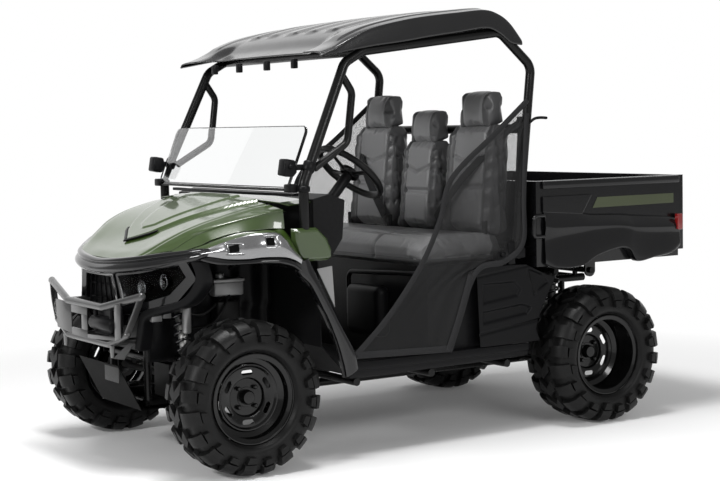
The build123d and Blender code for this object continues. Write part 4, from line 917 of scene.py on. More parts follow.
# %% Grille: vertical bars over a fine mesh
grille_parts = [block((-0.160, -1.300, 0.580), (0.160, -1.296, 0.800), 0.001)]
for x in np.linspace(-0.13, 0.13, 6):
    vane = [(x * 0.85, -1.318, 0.795), (x * 1.15, -1.310, 0.650), (x * 0.8, -1.302, 0.585)]
    grille_parts.append(bar(vane, 0.0045, 8))
for z in (0.62, 0.69, 0.75):
    grille_parts.append(bar([(-0.15, -1.306, z), (0.15, -1.306, z)], 0.004, 8))
settle(join(grille_parts, "grille_bars"), moulding, node="grille")
print("grille parts:", len(grille_parts))

# %% [markdown]
# ## Cab
# The cab is open, so the seats, the nets and the steering wheel are seen through it. The roof is one sheet
# with pressed ribs and a deep skirt; its plan comes from a table of stations along the vehicle.

# %% Roof
# y, height at the middle, height of the shoulder, height of the skirt's lower edge
ROOF_ROWS = [
    (-0.600, 1.716, 1.706, 1.686), (-0.520, 1.742, 1.734, 1.700), (-0.440, 1.786, 1.772, 1.714),
    (-0.335, 1.822, 1.812, 1.732), (-0.180, 1.858, 1.846, 1.753), (-0.051, 1.878, 1.866, 1.774),
    (0.110, 1.896, 1.884, 1.796), (0.251, 1.904, 1.897, 1.815), (0.328, 1.896, 1.880, 1.792),
    (0.390, 1.862, 1.842, 1.752), (0.452, 1.800, 1.776, 1.742),
]
roof_rows = [station(y, [(0.0, top), (0.25, top - 0.001), (0.45, top - 0.004), (0.575, (top + side) / 2),
                         (0.628, side - 0.001), (0.641, side - 0.010), (0.646, (side + foot) / 2 - 0.004),
                         (0.647, foot + 0.004), (0.640, foot), (0.632, foot + 0.004)])
             for y, top, side, foot in ROOF_ROWS]
roof_grid = net(mirror_rows(roof_rows), 170, 230)
out, y = np.abs(roof_grid[..., 0]), roof_grid[..., 1].copy()
# pressed ribs: raised bands along the vehicle, and a raised rim beside the flat middle
off_rib = np.abs(out[..., None] - [0.0, 0.17, 0.34]).min(axis=-1)


def between(value, low, high, ramp):
    """1 between two values, and 0 outside, with a smooth ramp inside each end."""
    return step_up(value - low, ramp) * step_up(high - value, ramp)


rib = step_up(0.045 - off_rib, 0.014) * between(y, -0.40, 0.27, 0.05)
raised_rim = between(out, 0.50, 0.60, 0.02) * between(y, -0.50, 0.30, 0.05)
roof_grid[..., 2] += 0.009 * rib + 0.006 * raised_rim
# the front edge is cut back between the two horns
FRONT = -0.35
cut = 1 - 0.32 * step_up(0.50 - out, 0.10)
roof_grid[..., 1] = np.where(y < FRONT, FRONT + (y - FRONT) * cut, y)
settle(panel("roof_skin", roof_grid, 0.006), roof_black, node="roof")
print("roof:", roof_grid.shape)

# %% [markdown]
# ### Windscreen
# The half windscreen is a clear sheet with rounded top corners, and a seal runs along its foot. A scaled cube
# would leave it flat and square. Built row by row, each row can be curved, and narrowed at the corners.

# %% Windscreen: low clear sheet with rounded top corners, and the seals along it
SCREEN_LOW, SCREEN_HIGH = np.array([-0.749, 1.140]), np.array([-0.644, 1.402])   # y, z of its edges
SCREEN_LENGTH, CORNER = 0.282, 0.035


def screen_row(share):
    """One height of the sheet: its half width narrows near the top by the corner's quarter circle."""
    y, z = SCREEN_LOW + share * (SCREEN_HIGH - SCREEN_LOW)
    into_corner = max(0.0, CORNER - (1 - share) * SCREEN_LENGTH)
    half = 0.604 - 0.004 * (1 - share) - (CORNER - np.sqrt(max(0.0, CORNER**2 - into_corner**2)))
    spread = np.linspace(-half, half, 60)
    return np.stack([spread, y - 0.016 * (1 - (spread / 0.6)**2), np.full(60, z)], axis=1)


shares = np.concatenate([np.linspace(0, 0.86, 20), np.linspace(0.88, 1, 12)])
settle(panel("screen", np.array([screen_row(share) for share in shares]), 0.005), clear, node="windshield")
edges = [bar(screen_row(share) + [0, 0.0025, 0], radius, 8)
         for share, radius in ((0.0, 0.0035), (0.045, 0.002), (1.0, 0.0018))]
settle(join(edges, "screen_edges"), soft_rubber)
t = np.linspace(-1, 1, 60)
seal_path = np.stack([0.56 * t, -0.685 - 0.025 * (1 - t**2), np.full(60, 1.118)], axis=1)
settle(strap(seal_path, 0.030, 0.012, (0, 0, 1), "cowl_seal"), moulding)
print("windscreen rows:", len(shares))

# %% [markdown]
# ### Seats
# Each cushion starts as a plain block at its seam size. Cloth pressure inflates it between its seams, and
# the channels of the stitched panels are pressed in afterwards as grooves along the surface.

# %% Cushions by cloth
CLOTH = 0.0075   # size of the cloth's faces


def cloth_block(name, outline, start, end):
    """Closed block from a side outline, remeshed to an even cloth."""
    raw = plate(outline, start, end)
    modify(raw, "REMESH", mode="VOXEL", voxel_size=CLOTH)
    return join([raw], name)


def inflate(piece, reach, pressure=3.0, frames=16):
    """Blow a closed cloth up by pressure, with no point moved more than `reach`, and give its places."""
    start = triples(piece.data.vertices)
    cloth = modify(piece, "CLOTH")
    settings = cloth.settings
    settings.quality = 4
    settings.use_pressure, settings.uniform_pressure_force = True, pressure
    settings.tension_stiffness = settings.compression_stiffness = 12
    settings.bending_stiffness = 0.6
    settings.effector_weights.gravity = 0
    cloth.collision_settings.use_collision = False
    cloth.point_cache.frame_start, cloth.point_cache.frame_end = 1, frames
    for frame_number in range(1, frames + 1):
        bpy.context.scene.frame_set(frame_number)
    moved = triples(evaluated(piece).vertices)
    piece.modifiers.clear()
    bpy.context.scene.frame_set(1)
    step = moved - start
    size = np.linalg.norm(step, axis=1, keepdims=True)
    points = start + step * np.minimum(1, reach / np.maximum(size, 1e-9))
    move_to(piece, points)
    return points


def grooves(piece, points, depth_of):
    """Press grooves in: move points against their normals by a depth worked out from their places."""
    move_to(piece, points - triples(piece.data.vertices, "normal") * depth_of(points)[:, None])


def cover(piece, darker):
    """Faces where `darker` holds at their middles are bolsters and take the second finish."""
    piece.data.materials.append(bolster_vinyl)
    middles = triples(piece.data.polygons, "center")
    piece.data.polygons.foreach_set("material_index", darker(middles).astype(int))
    piece.data.shade_smooth()
    modify(piece, "SUBSURF", levels=1, render_levels=1)


# %% Bench cushion
BENCH_SEAM_Z = 0.812
BENCH_OUTLINE = [(-0.088, 0.786), (0.375, 0.786), (0.335, 0.892), (0.060, 0.898), (-0.030, 0.888),
                 (-0.086, 0.850)]


def bench_depth(p):
    """Two seams along the vehicle between the three places, one across near the front edge, and one
    round the foot."""
    return (channel(np.abs(p[:, 0]) - 0.205, 0.012, 0.010) * (p[:, 2] > 0.80)
            + channel(p[:, 1] - 0.015 - 0.02 * np.cos(p[:, 0] * 8), 0.010, 0.007) * (p[:, 2] > 0.86)
            + channel(p[:, 2] - BENCH_SEAM_Z, 0.008, 0.005))


cushion = cloth_block("bench_cushion", BENCH_OUTLINE, -0.594, 0.594)
grooves(cushion, inflate(cushion, 0.014), bench_depth)
settle(cushion, vinyl, node="seat_cushion")
print("bench cushion:", len(cushion.data.vertices), "points")

# %% Backs and head restraints
# name, middle, half width, top, half width and top of the head restraint
BACKS = [("left", 0.400, 0.186, 1.400, 0.110, 1.545), ("centre", 0.0, 0.150, 1.330, 0.100, 1.466),
         ("right", -0.400, 0.186, 1.400, 0.110, 1.545)]
BACK_FOOT = 0.905


def back_depth(x, half, top):
    """Depth on a back: side seams, a channel over the lumbar panel and one under the shoulders, and bolsters
    that stand out beyond the seams."""
    def depth(p):
        out, share = np.abs(p[:, 0] - x), (p[:, 2] - BACK_FOOT) / (top - BACK_FOOT)
        side = channel(out - half * 0.62, 0.010, 0.010)
        across = channel((share - 0.42) * (top - BACK_FOOT), 0.016, 0.015)
        high = channel((share - 0.66) * (top - BACK_FOOT) - 0.3 * (out - half * 0.3), 0.014, 0.012)
        bolster = -0.012 * step_up(out - half * 0.64, 0.03) * (p[:, 2] < top - 0.05)
        return (p[:, 1] < 0.36) * (side + (across + high) * (out < half * 0.62) + bolster)
    return depth


for place, x, half, top, head_half, head_top in BACKS:
    lean = (top - BACK_FOOT) * 0.1
    outline = [(0.306, 0.912), (0.300 + lean * 0.55, (BACK_FOOT + top) / 2), (0.303 + lean, top - 0.03),
               (0.318 + lean, top - 0.004), (0.385 + lean * 0.8, top - 0.004),
               (0.398 + lean * 0.8, top - 0.03), (0.405, 0.912), (0.385, 0.900), (0.330, 0.900)]
    back = cloth_block("seat_back_" + place, outline, x - half + 0.006, x + half - 0.006)
    points = inflate(back, 0.012)
    # shoulders: the top narrows as a rounded arch
    above = np.clip((points[:, 2] - (top - 0.14)) / 0.14, 0, 1)
    points[:, 0] = x + (points[:, 0] - x) * (1 - 0.26 * above**2)
    grooves(back, points, back_depth(x, half, top))
    settle(back, vinyl, node="seatback_" + place)
    cover(back, lambda p: (np.abs(p[:, 0] - x) > half * 0.62) | (p[:, 1] > 0.37))
    outline = [(0.312 + lean, top - 0.026), (0.308 + lean, top + 0.05), (0.318 + lean, head_top - 0.02),
               (0.335 + lean, head_top - 0.006), (0.392 + lean, head_top - 0.006),
               (0.403 + lean, head_top - 0.03), (0.396 + lean, top)]
    rest = cloth_block("head_rest_" + place, outline, x - head_half - 0.002, x + head_half + 0.002)
    points = inflate(rest, 0.012)
    taper = np.clip((points[:, 2] - top) / (head_top - top), 0, 1)
    points[:, 0] = x + (points[:, 0] - x) * (1.0 - 0.12 * taper)
    grooves(rest, points, lambda p: channel(np.abs(p[:, 0] - x) - head_half * 0.62, 0.008, 0.006))
    settle(rest, vinyl, node="headrests")
    cover(rest, lambda p: np.abs(p[:, 0] - x) > head_half * 0.66)
cover(cushion, lambda p: (p[:, 2] < BENCH_SEAM_Z) | (p[:, 1] > 0.30))
print("seat backs and head rests:", len(BACKS), "each")

# %% [markdown]
# ## Cargo bed
# The bed's side is a plain wall, a raised rail along the top, a recessed band for the stripe, and a flared
# fender over the wheel whose crown is a raised curve.

# %% Bed side: flared fender with a crown line over a flat wall
BED_WALL_X = 0.6605
# y, crown (x, z), face (x, z), lower edge (x, z)
FLARE_ROWS = [
    (0.548, (0.664, 0.985), (0.672, 0.870), (0.676, 0.757)),
    (0.600, (0.666, 0.982), (0.684, 0.870), (0.692, 0.735)),
    (0.741, (0.668, 0.972), (0.690, 0.880), (0.700, 0.736)),
    (0.834, (0.668, 0.960), (0.694, 0.890), (0.700, 0.776)),
    (0.967, (0.668, 0.955), (0.696, 0.892), (0.700, 0.804)),
    (1.035, (0.668, 0.950), (0.696, 0.884), (0.700, 0.794)),
    (1.087, (0.668, 0.944), (0.694, 0.870), (0.698, 0.737)),
    (1.200, (0.668, 0.935), (0.690, 0.862), (0.696, 0.748)),
    (1.310, (0.667, 0.925), (0.686, 0.860), (0.692, 0.762)),
    (1.372, (0.666, 0.912), (0.680, 0.860), (0.684, 0.792)),
]
flare_rows = [station(y, [(BED_WALL_X, crown_z + 0.012), (crown_x + 0.006, crown_z),
                          ((crown_x + face_x) / 2 + 0.012, (crown_z + face_z) / 2), (face_x, face_z),
                          (low_x + 0.001, low_z + 0.020), (low_x - 0.003, low_z + 0.002),
                          (0.664, low_z + 0.001)])
              for y, (crown_x, crown_z), (face_x, face_z), (low_x, low_z) in FLARE_ROWS]
flare = panel("bed_flare", net(flare_rows, 130, 50), 0.0035)
rail = block((BED_WALL_X, 0.540, 1.096), (0.676, 1.378, 1.131), 0.006)
step_plate = plate([(0.540, 1.062), (0.832, 1.062), (0.772, 0.972), (0.540, 0.990)], BED_WALL_X, 0.672)
bed_trim = join([rail, soften(step_plate, 0.004)], "bed_trim")
stripe_outline = [(0.870, 1.046), (1.350, 1.046), (1.350, 1.000), (0.842, 0.998)]
stripe_plate = plate(stripe_outline, BED_WALL_X - 0.0001, 0.6620, name="bed_stripe")
lamp = block((0.6725, 1.345, 0.872), (0.6985, 1.3775, 0.948), 0.005, name="tail_lamp")
for piece, material, node in ((flare, bed_black, "bed_fenders"), (bed_trim, bed_black, "bed_fenders"),
                              (stripe_plate, stripe, "bed_fenders"), (lamp, red_lens, "tail_lamps")):
    settle(tidy_normals(piece), material, "cargo_bed", node, both=True)
print("flare stations:", len(FLARE_ROWS))

# %% [markdown]
# ## Side panels and sills
# Below the seat a moulded panel closes the vehicle's side, with pressed recesses and two slanted grooves.
# They could be cut with booleans, but as depths added to one grid they get soft edges and need no cleaning.

# %% Side panel below the seat: a pressed face with slanted grooves and a triangular recess
PANEL_FOOT, PANEL_TOP = 0.406, 0.762
# z of the panel's front and rear edge, then y there
FRONT_LINE = [0.406, 0.762], [0.200, 0.184]
REAR_LINE = ([0.406, 0.460, 0.542, 0.690, 0.708, 0.757, 0.762],
             [0.540, 0.516, 0.544, 0.632, 0.574, 0.468, 0.390])
RECESSES = ([(0.215, 0.590), (0.420, 0.615), (0.440, 0.650), (0.400, 0.690), (0.215, 0.690)],
            [(0.215, 0.500), (0.470, 0.530), (0.500, 0.565), (0.440, 0.585), (0.215, 0.565)],
            [(0.470, 0.745), (0.505, 0.610), (0.600, 0.668), (0.560, 0.712)])


def in_outline(y, z, outline, width):
    """Share of depth inside a convex outline, ramped over the width from its edges."""
    corners = np.array(outline)
    distance = np.full(y.shape, 1.0)
    for a, b in zip(corners, np.roll(corners, -1, axis=0)):
        run = unit(b - a)
        distance = np.minimum(distance, (y - a[0]) * -run[1] + (z - a[1]) * run[0])
    return step_up(distance, width)


height = np.linspace(PANEL_FOOT, PANEL_TOP, 120)[:, None]
front_y, rear_y = np.interp(height, *FRONT_LINE), np.interp(height, *REAR_LINE)
panel_y = front_y + np.linspace(0, 1, 150) * (rear_y - front_y)
panel_z = np.broadcast_to(height, panel_y.shape)
press = sum(in_outline(panel_y, panel_z, outline, 0.012) for outline in RECESSES)
lean_z = panel_z - 0.12 * (panel_y - 0.2)
groove = channel(lean_z - 0.462, 0.010, 0.006) + channel(lean_z - 0.720, 0.008, 0.005)
panel_x = 0.640 - 0.011 * np.clip(press, 0, 1) - groove
side_grid = np.stack([panel_x, panel_y, panel_z], axis=-1)[:, ::-1]
settle(panel("side_skin", side_grid, 0.005), moulding, node="side_panels", both=True)
print("side panel:", side_grid.shape)

# %% Sill
# y, height of the sill's foot
SILL_ROWS = ((-0.488, 0.334), (-0.2, 0.335), (0.1, 0.337), (0.300, 0.339), (0.478, 0.342))
sill_rows = [station(y, [(0.602, 0.402), (0.634, 0.403), (0.640, 0.396), (0.641, 0.372), (0.634, 0.366),
                         (0.632, 0.350), (0.622, foot_z), (0.602, foot_z)]) for y, foot_z in SILL_ROWS]
settle(panel("sill", net(sill_rows, 40, 40), 0.004), moulding, node="rockers", both=True)
print("sill stations:", len(SILL_ROWS))

# %% [markdown]
# ## Tubes, springs and small parts
# Round bars follow lines with bent corners. A bevelled curve would do for them too, but here each corner is
# replaced by an arc that touches both legs, as a tube bender makes it, and the ends are closed.

# %% Roll cage
CAGE_TUBE, CAGE_X, CAGE_FOOT_X = 0.021, 0.613, 0.646
cage_parts = []
for side in (1, -1):
    x, foot = side * CAGE_X, side * CAGE_FOOT_X
    side_line = [(foot, -0.700, 0.862), (foot, -0.700, 1.166), (x, -0.468, 1.663), (x, -0.380, 1.712),
                 (x, 0.350, 1.800), (x, 0.525, 1.650), (x, 0.430, 0.826)]
    brace_line = [(x, -0.488, 1.618), (x, -0.434, 1.540), (x, -0.462, 1.330), (side * 0.630, -0.640, 1.225)]
    cage_parts += [rod(bent(side_line, 0.07), CAGE_TUBE), rod(bent(brace_line, 0.05), 0.016),
                   block((foot - 0.030, -0.732, 0.862), (foot + 0.022, -0.668, 0.872), 0.003)]
for y, z in ((-0.370, 1.713), (0.340, 1.799), (0.492, 1.370)):
    cage_parts.append(rod([(x, y, z) for x in (-CAGE_X, -0.2, 0.2, CAGE_X)], CAGE_TUBE))
settle(join(cage_parts, "cage"), powder, node="roll_cage", crease=40)
print("cage parts:", len(cage_parts))

# %% [markdown]
# ### Bumper and winch
# The bumper is two bent tubes tied by flat plates, with a window that shows the winch. A hole cut in one
# plate by a boolean would do, but four strips round the hole keep the mesh clean.

# %% Bumper: two bars with end caps, links between their ends and the stays behind
BUMPER_Y = box_of("bumper")[0][1] + 0.016
HORN, HORN_CORNER = (0.478, BUMPER_Y + 0.046, 0.738), (0.371, BUMPER_Y + 0.025, 0.576)
bumper_parts = []
for inner, outer, radius, bend in (((0.183, BUMPER_Y, 0.674), HORN, 0.016, 0.06),
                                   ((0.215, BUMPER_Y + 0.013, 0.520), HORN_CORNER, 0.014, 0.05)):
    line = bent([(-outer[0], *outer[1:]), (-inner[0], *inner[1:]), inner, outer], bend)
    bumper_parts.append(rod(line, radius))
for side in (1, -1):
    link = line_through([(side * (HORN[0] - 0.014), *HORN[1:]), (side * 0.418, BUMPER_Y + 0.034, 0.655),
                         (side * (HORN_CORNER[0] - 0.010), *HORN_CORNER[1:])], 12)
    bumper_parts.append(soften(strap(link, 0.030, 0.006, (0.83, 0, -side * 0.55)), 0.0015))
    for start, z in ((BUMPER_Y + 0.013, 0.520), (BUMPER_Y, 0.674)):
        bumper_parts.append(rod([(side * 0.17, y, z) for y in (start, -1.3, -1.218)], 0.014))
# plates as outlines (x, z): four strips round the square hole, the window's post, the strip under it, tabs
PLATE_Y = BUMPER_Y + 0.002
HOLE_LEFT, HOLE_RIGHT, HOLE_LOW, HOLE_HIGH, POST_X = -0.159, -0.050, 0.560, 0.624, 0.010
outlines = [[(-0.330, 0.668), (HOLE_LEFT, 0.664), (HOLE_LEFT, 0.530), (-0.318, 0.545)],
            [(HOLE_LEFT, 0.664), (POST_X, 0.664), (POST_X, HOLE_HIGH), (HOLE_LEFT, HOLE_HIGH)],
            [(HOLE_LEFT, HOLE_LOW), (POST_X, HOLE_LOW), (POST_X, 0.526), (HOLE_LEFT, 0.526)],
            [(HOLE_RIGHT, HOLE_HIGH), (POST_X, HOLE_HIGH), (POST_X, HOLE_LOW), (HOLE_RIGHT, HOLE_LOW)],
            [(0.290, 0.690), (0.345, 0.700), (0.345, 0.560), (0.290, 0.545)],
            [(POST_X, 0.545), (0.290, 0.560), (0.290, 0.545), (POST_X, 0.526)]]
outlines += [[(x - 0.022, 0.520), (x + 0.022, 0.520), (x + 0.012, 0.470), (x - 0.012, 0.470)]
             for x in (-0.235, 0.255)]
bumper_parts += [soften(plate(outline, PLATE_Y, PLATE_Y + 0.006, axis=1), 0.0015) for outline in outlines]
# the bumper's metallic grey finish is painted sheen on black tubes
settle(join(bumper_parts, "front_bumper"), tube_painted_sheen, node="bumper", crease=40)
print("bumper parts:", len(bumper_parts))

# %% Winch behind the window, and the plates under the bumper
winch_parts = [block((0.012, PLATE_Y + 0.030, 0.550), (0.288, PLATE_Y + 0.040, 0.680), 0.004),
               rod([(x, PLATE_Y + 0.02, 0.60) for x in (0.04, 0.15, 0.26)], 0.030)]
winch_parts += [rod([(x, PLATE_Y + 0.016, z) for z in (0.565, 0.61, 0.665)], 0.009) for x in (0.07, 0.23)]
settle(join(winch_parts, "winch_panel"), moulding, crease=40)
bracket = plate([(0.285, 0.529), (0.334, 0.534), (0.231, 0.453), (0.120, 0.446)], -1.336, -1.331, axis=1)
tow_plate = block((0.055, -1.345, 0.352), (0.195, -1.339, 0.424), 0.002)
settle(join([soften(piece, 0.0015) for piece in (bracket, tow_plate)], "skid_trim"), cast)
print("winch parts:", len(winch_parts))

# %% [markdown]
# ### Springs and dampers
# A coil spring is a wire wound about a line. The Screw modifier could wind it, but a formula for its path
# keeps it on the damper's line, whatever that line's slope.


# %% Springs and dampers
def coil(name, foot, head, radius, wire, turns=8, samples=22):
    """Round wire wound about the line from foot to head: an angle that grows evenly along it, and a rise
    from a third of the line to near its end."""
    axis = unit(head - foot)
    side = unit(np.cross(axis, [0, 1, 0.0]))
    t = np.linspace(0, 1, turns * samples)[:, None]
    angle = t * turns * 2 * pi
    path = foot + (head - foot) * (0.34 + 0.61 * t) + radius * (np.cos(angle) * side
                                                                + np.sin(angle) * np.cross(axis, side))
    return bar(path, wire, 10, name)


# shares of the line from foot to head, radius and sides of the rod, the body and the two collars
DAMPER_TUBES = (((0, 0.3, 0.6), 0.0085, 16), ((0.30, 0.6, 1.0), 0.0205, 28),
                ((0.925, 0.94, 0.955), 0.037, 32), ((0.315, 0.325, 0.335), 0.037, 32))


def shock_absorber(name, foot, head):
    """Damper with collars and eyes, and its spring."""
    foot, head = np.array(foot), np.array(head)
    parts = [rod([foot + (head - foot) * share for share in shares], radius, sides)
             for shares, radius, sides in DAMPER_TUBES]
    parts += [rod([eye + [0, y, 0] for y in (-0.02, 0, 0.02)], 0.016, 20) for eye in (foot, head)]
    return join(parts, name + "_damper"), coil(name + "_spring", foot, head, 0.0315, 0.0058)


REAR_X = box_of("rear_shocks")[1][0] - 0.034
for name, foot, head, metal in (("front_shock", (0.400, -1.105, 0.262), (0.272, -1.105, 0.699), bare),
                                ("rear_shock", (REAR_X, 0.809, 0.224), (REAR_X, 0.809, 0.676), cast)):
    damper, spring = shock_absorber(name, foot, head)
    settle(damper, metal, node=name + "s", crease=40, both=True)
    settle(spring, spring_coat, node=name + "s", both=True)
print("rear shock absorbers at x:", round(float(REAR_X), 4))

# %% [markdown]
# ### Wheel wells and cowl sides
# Behind each front wheel lie an inner apron, reservoirs, boxes and hoses. They are in shadow, so plain blocks
# and bars are enough, with rounded edges that catch what light there is.

# %% Wheel wells: inner aprons, reservoirs of the dampers, boxes on the aprons and hoses
apron_y, apron_z = np.linspace(-1.225, -0.640, 40)[:, None], np.linspace(0.430, 0.900, 30)[None, :]
ripple = 0.008 * np.cos(apron_y * 60) * step_up(apron_z - 0.47, 0.05)
apron_x = 0.222 + 0.016 * step_up(apron_z - 0.62, 0.03) + ripple
apron = panel("apron", np.stack(np.broadcast_arrays(apron_x, apron_y, apron_z), axis=-1), 0.003)
well_parts = [rod([(0.362, -1.108, 0.556), (0.361, -1.106, 0.63), (0.360, -1.104, 0.712)], 0.0185, 28),
              rod([(0.360, -1.104, z) for z in (0.706, 0.714, 0.724)], 0.0205, 28),
              block((0.234, -0.940, 0.690), (0.300, -0.800, 0.752), 0.008),
              block((0.230, -0.946, 0.748), (0.304, -0.794, 0.764), 0.005),
              rod([(0.268, -0.900, z) for z in (0.760, 0.775, 0.788)], 0.020, 28),
              block((0.296, -1.252, 0.612), (0.336, -1.205, 0.646)),
              block((0.296, -1.196, 0.622), (0.330, -1.160, 0.650))]
hose_parts = [block((0.316, -1.118, 0.612), (0.352, -1.092, 0.632), 0.003),
              block((0.236, -1.060, 0.700), (0.290, -0.985, 0.790), 0.008),
              block((0.236, -0.930, 0.560), (0.300, -0.820, 0.670), 0.010)]
# three points and the radius of each hose
HOSES = [((0.24, -1.18, 0.78), (0.31, -1.10, 0.80), (0.24, -0.97, 0.72), 0.006),
         ((0.24, -1.16, 0.70), (0.30, -1.02, 0.62), (0.26, -0.86, 0.70), 0.007),
         ((0.24, -1.02, 0.56), (0.33, -0.95, 0.60), (0.25, -0.80, 0.78), 0.005),
         ((0.25, -0.84, 0.80), (0.30, -0.78, 0.84), (0.24, -0.70, 0.80), 0.008)]
hose_parts += [bar(line_through(points, 30), radius, 12) for *points, radius in HOSES]
boxes, hoses = join(well_parts, "well_boxes"), join(hose_parts, "well_hoses")
settle(apron, moulding, both=True)
settle(boxes, silver, crease=40, both=True)
settle(hoses, soft_rubber, crease=40, both=True)
print("boxes:", len(well_parts), "hoses:", len(HOSES))

# %% Green panel behind each front fender, and the light wedge below it
QUARTER_FOOT, QUARTER_TOP = 0.848, 0.986
QUARTER_Z = [0.848, 0.860, 0.889, 0.930, 0.940, 0.975, 0.986]
QUARTER_FRONT = [-0.717, -0.730, -0.752, -0.766, -0.767, -0.768, -0.768]
QUARTER_REAR = [-0.606, -0.581, -0.581, -0.598, -0.604, -0.641, -0.655]
share, z = np.linspace(0, 1, 40)[None, :], np.linspace(QUARTER_FOOT, QUARTER_TOP, 40)[:, None]
front, rear = np.interp(z, QUARTER_Z, QUARTER_FRONT), np.interp(z, QUARTER_Z, QUARTER_REAR)
y = front + share * (rear - front)
from_edge = np.minimum(np.minimum(y - front, rear - y), np.minimum(z - QUARTER_FOOT, QUARTER_TOP - z))
x = 0.6735 - 0.010 * step_up(-0.738 - y, 0.03) - 0.014 * (1 - step_up(from_edge, 0.014))
quarter = panel("cowl_quarter", np.stack(np.broadcast_arrays(x, y, z), axis=-1), 0.004)
wedge = plate([(-0.636, 0.811), (-0.562, 0.819), (-0.552, 0.642)], 0.628, 0.634, name="door_wedge")
settle(quarter, paint, node="cowl_panels", both=True)
settle(soften(wedge), silver, both=True)
print("cowl quarter:", x.shape)

# %% [markdown]
# ### Clamps, latches and handles
# Small fittings give a sense of size: the clamps of the windscreen, the lever on the pillar, the latches and
# the bed's handle. Each is a block, a plate or a rod, and those that share a finish are joined.

# %% Clamps of the windscreen, the lever on the pillar, latches and the bed's handle
CLAMP = [(-0.790, 1.204), (-0.778, 1.272), (-0.730, 1.264), (-0.722, 1.214), (-0.742, 1.194)]
clamp_parts = [soften(plate(CLAMP, 0.583, 0.640), 0.008, 3),
               block((0.611, -0.735, 1.222), (0.633, -0.668, 1.246), 0.005),
               block((0.584, -0.760, 1.132), (0.636, -0.716, 1.166), 0.006),
               rod([(0.640, -0.678, 1.213), (0.638, -0.668, 1.234), (0.636, -0.658, 1.256)], 0.027),
               rod([(0.646, -0.700, z) for z in (1.130, 1.145, 1.160)], 0.027),
               rod([(x, -0.756, 1.238) for x in (0.640, 0.644, 0.650)], 0.010)]
settle(join(clamp_parts, "screen_clamps"), moulding, node="lamp_blocks", crease=40, both=True)
lever = [(0.622, 0.475, 1.372), (0.640, 0.513, 1.410), (0.641, 0.550, 1.418), (0.641, 0.594, 1.416)]
small_parts = [rod(line_through(lever, 16), 0.0065),
               block((0.604, 0.300, 0.764), (0.640, 0.352, 0.822), 0.005),
               block((0.608, 0.362, 0.764), (0.644, 0.400, 0.866), 0.005),
               block((0.590, 0.400, 0.790), (0.640, 0.462, 0.836), 0.005),
               rod([(x, 0.326, 0.812) for x in (0.60, 0.62, 0.655)], 0.011)]
small_parts += [block((x - 0.014, -0.575, 1.648), (x + 0.014, -0.552, 1.690))
                for x in (0.126, 0.363, -0.126, -0.363)]
grab_rail = bent([(0.045, -0.11, 0.53), (0.045, -0.11, 0.728), (0.60, -0.11, 0.752)], 0.04)
small_parts += [block((0.09, -0.165, 0.45), (0.37, -0.085, 0.68), 0.036, 8), rod(grab_rail, 0.011)]
settle(join(small_parts, "cab_fittings"), moulding, crease=40)
handle_line = [(0.668, 0.552, 0.976), (0.676, 0.482, 0.976), (0.676, 0.482, 0.882), (0.668, 0.552, 0.882)]
settle(rod(bent(handle_line, 0.016), 0.0085, name="bed_handle"), bed_black, "cargo_bed", both=True)
print("clamp parts:", len(clamp_parts), "cab fittings:", len(small_parts))

# %% [markdown]
# ### Steering wheel
# The padded rim swells a little at four places round it. A torus from the menu would have to be sculpted,
# but a grid in the wheel's own axes needs only one more term in the radius of its tube.

# %% Steering wheel: padded rim, three spokes and a hub cover
WHEEL_HUB, WHEEL_TILT, RIM_RADIUS = np.array([0.350, -0.284, 1.196]), radians(48), 0.158
up_column = np.array([0, cos(WHEEL_TILT), sin(WHEEL_TILT)])
wheel_up = np.cross(up_column, [1.0, 0, 0])


def on_steering(u, v, w):
    """Place in the wheel's own axes: right, up the rim, along the column."""
    u, v, w = (part[..., None] for part in np.broadcast_arrays(u, v, w))
    return WHEEL_HUB + u * [1.0, 0, 0] + v * wheel_up + w * up_column


turn, around = circle(96)[:, None], circle(20)[None, :]
grip = 0.0145 + 0.0012 * np.maximum(0, np.cos(4 * turn))
out = RIM_RADIUS + grip * np.cos(around)
rim_grid = on_steering(out * np.cos(turn), out * np.sin(turn), grip * np.sin(around))
steering_parts = [grid_object("rim", rim_grid, wrap_rows=True, wrap_columns=True)]
share = np.linspace(0, 1, 12)[:, None]
width = (0.020 - 0.008 * np.sin(pi * share)) * np.cos(around)
dip, reach = -0.012 * (1 - share)**2 + 0.006 * np.sin(around), 0.030 + 0.122 * share
for angle in (0.0, pi, -pi / 2):
    spoke = on_steering(reach * cos(angle) - width * sin(angle), reach * sin(angle) + width * cos(angle), dip)
    steering_parts.append(grid_object("spoke", spoke, wrap_columns=True, caps=True))
hub_radius = np.array([0.0, 0.030, 0.042, 0.046, 0.046, 0.040])
hub_height = np.array([0.014, 0.013, 0.008, 0.0, -0.010, -0.017])
hub_grid = on_steering(hub_radius * np.cos(turn), hub_radius * np.sin(turn), hub_height)[:, ::-1]
steering_parts.append(grid_object("hub_cover", hub_grid, wrap_rows=True))
steering = join([tidy_normals(piece) for piece in steering_parts], "steering_wheel_padded")
settle(steering, soft_rubber, "steering_wheel", "steering_wheel")
print("steering wheel parts:", len(steering_parts))

# %% [markdown]
# ### Belts and nets
# Straps are flat bands along their own lines, laid over what they rest on. The side net is a woven mesh
# stretched between the cage and the sill, so its holes come from the weave group's mask.

# %% Net material
net_mesh, make, shader = new_material("net_mesh")
woven = make.add("ShaderNodeGroup", node_tree=weave_group)
make.fill(woven, {"Threads": 260.0, "Thread Width": 0.34})
make.fill(shader, {"Alpha": woven.outputs["Mask"], "Normal": make.bump(woven.outputs["Height"], 0.4),
                   "Base Color": (0.004, 0.004, 0.0045, 1), "Roughness": 0.6})

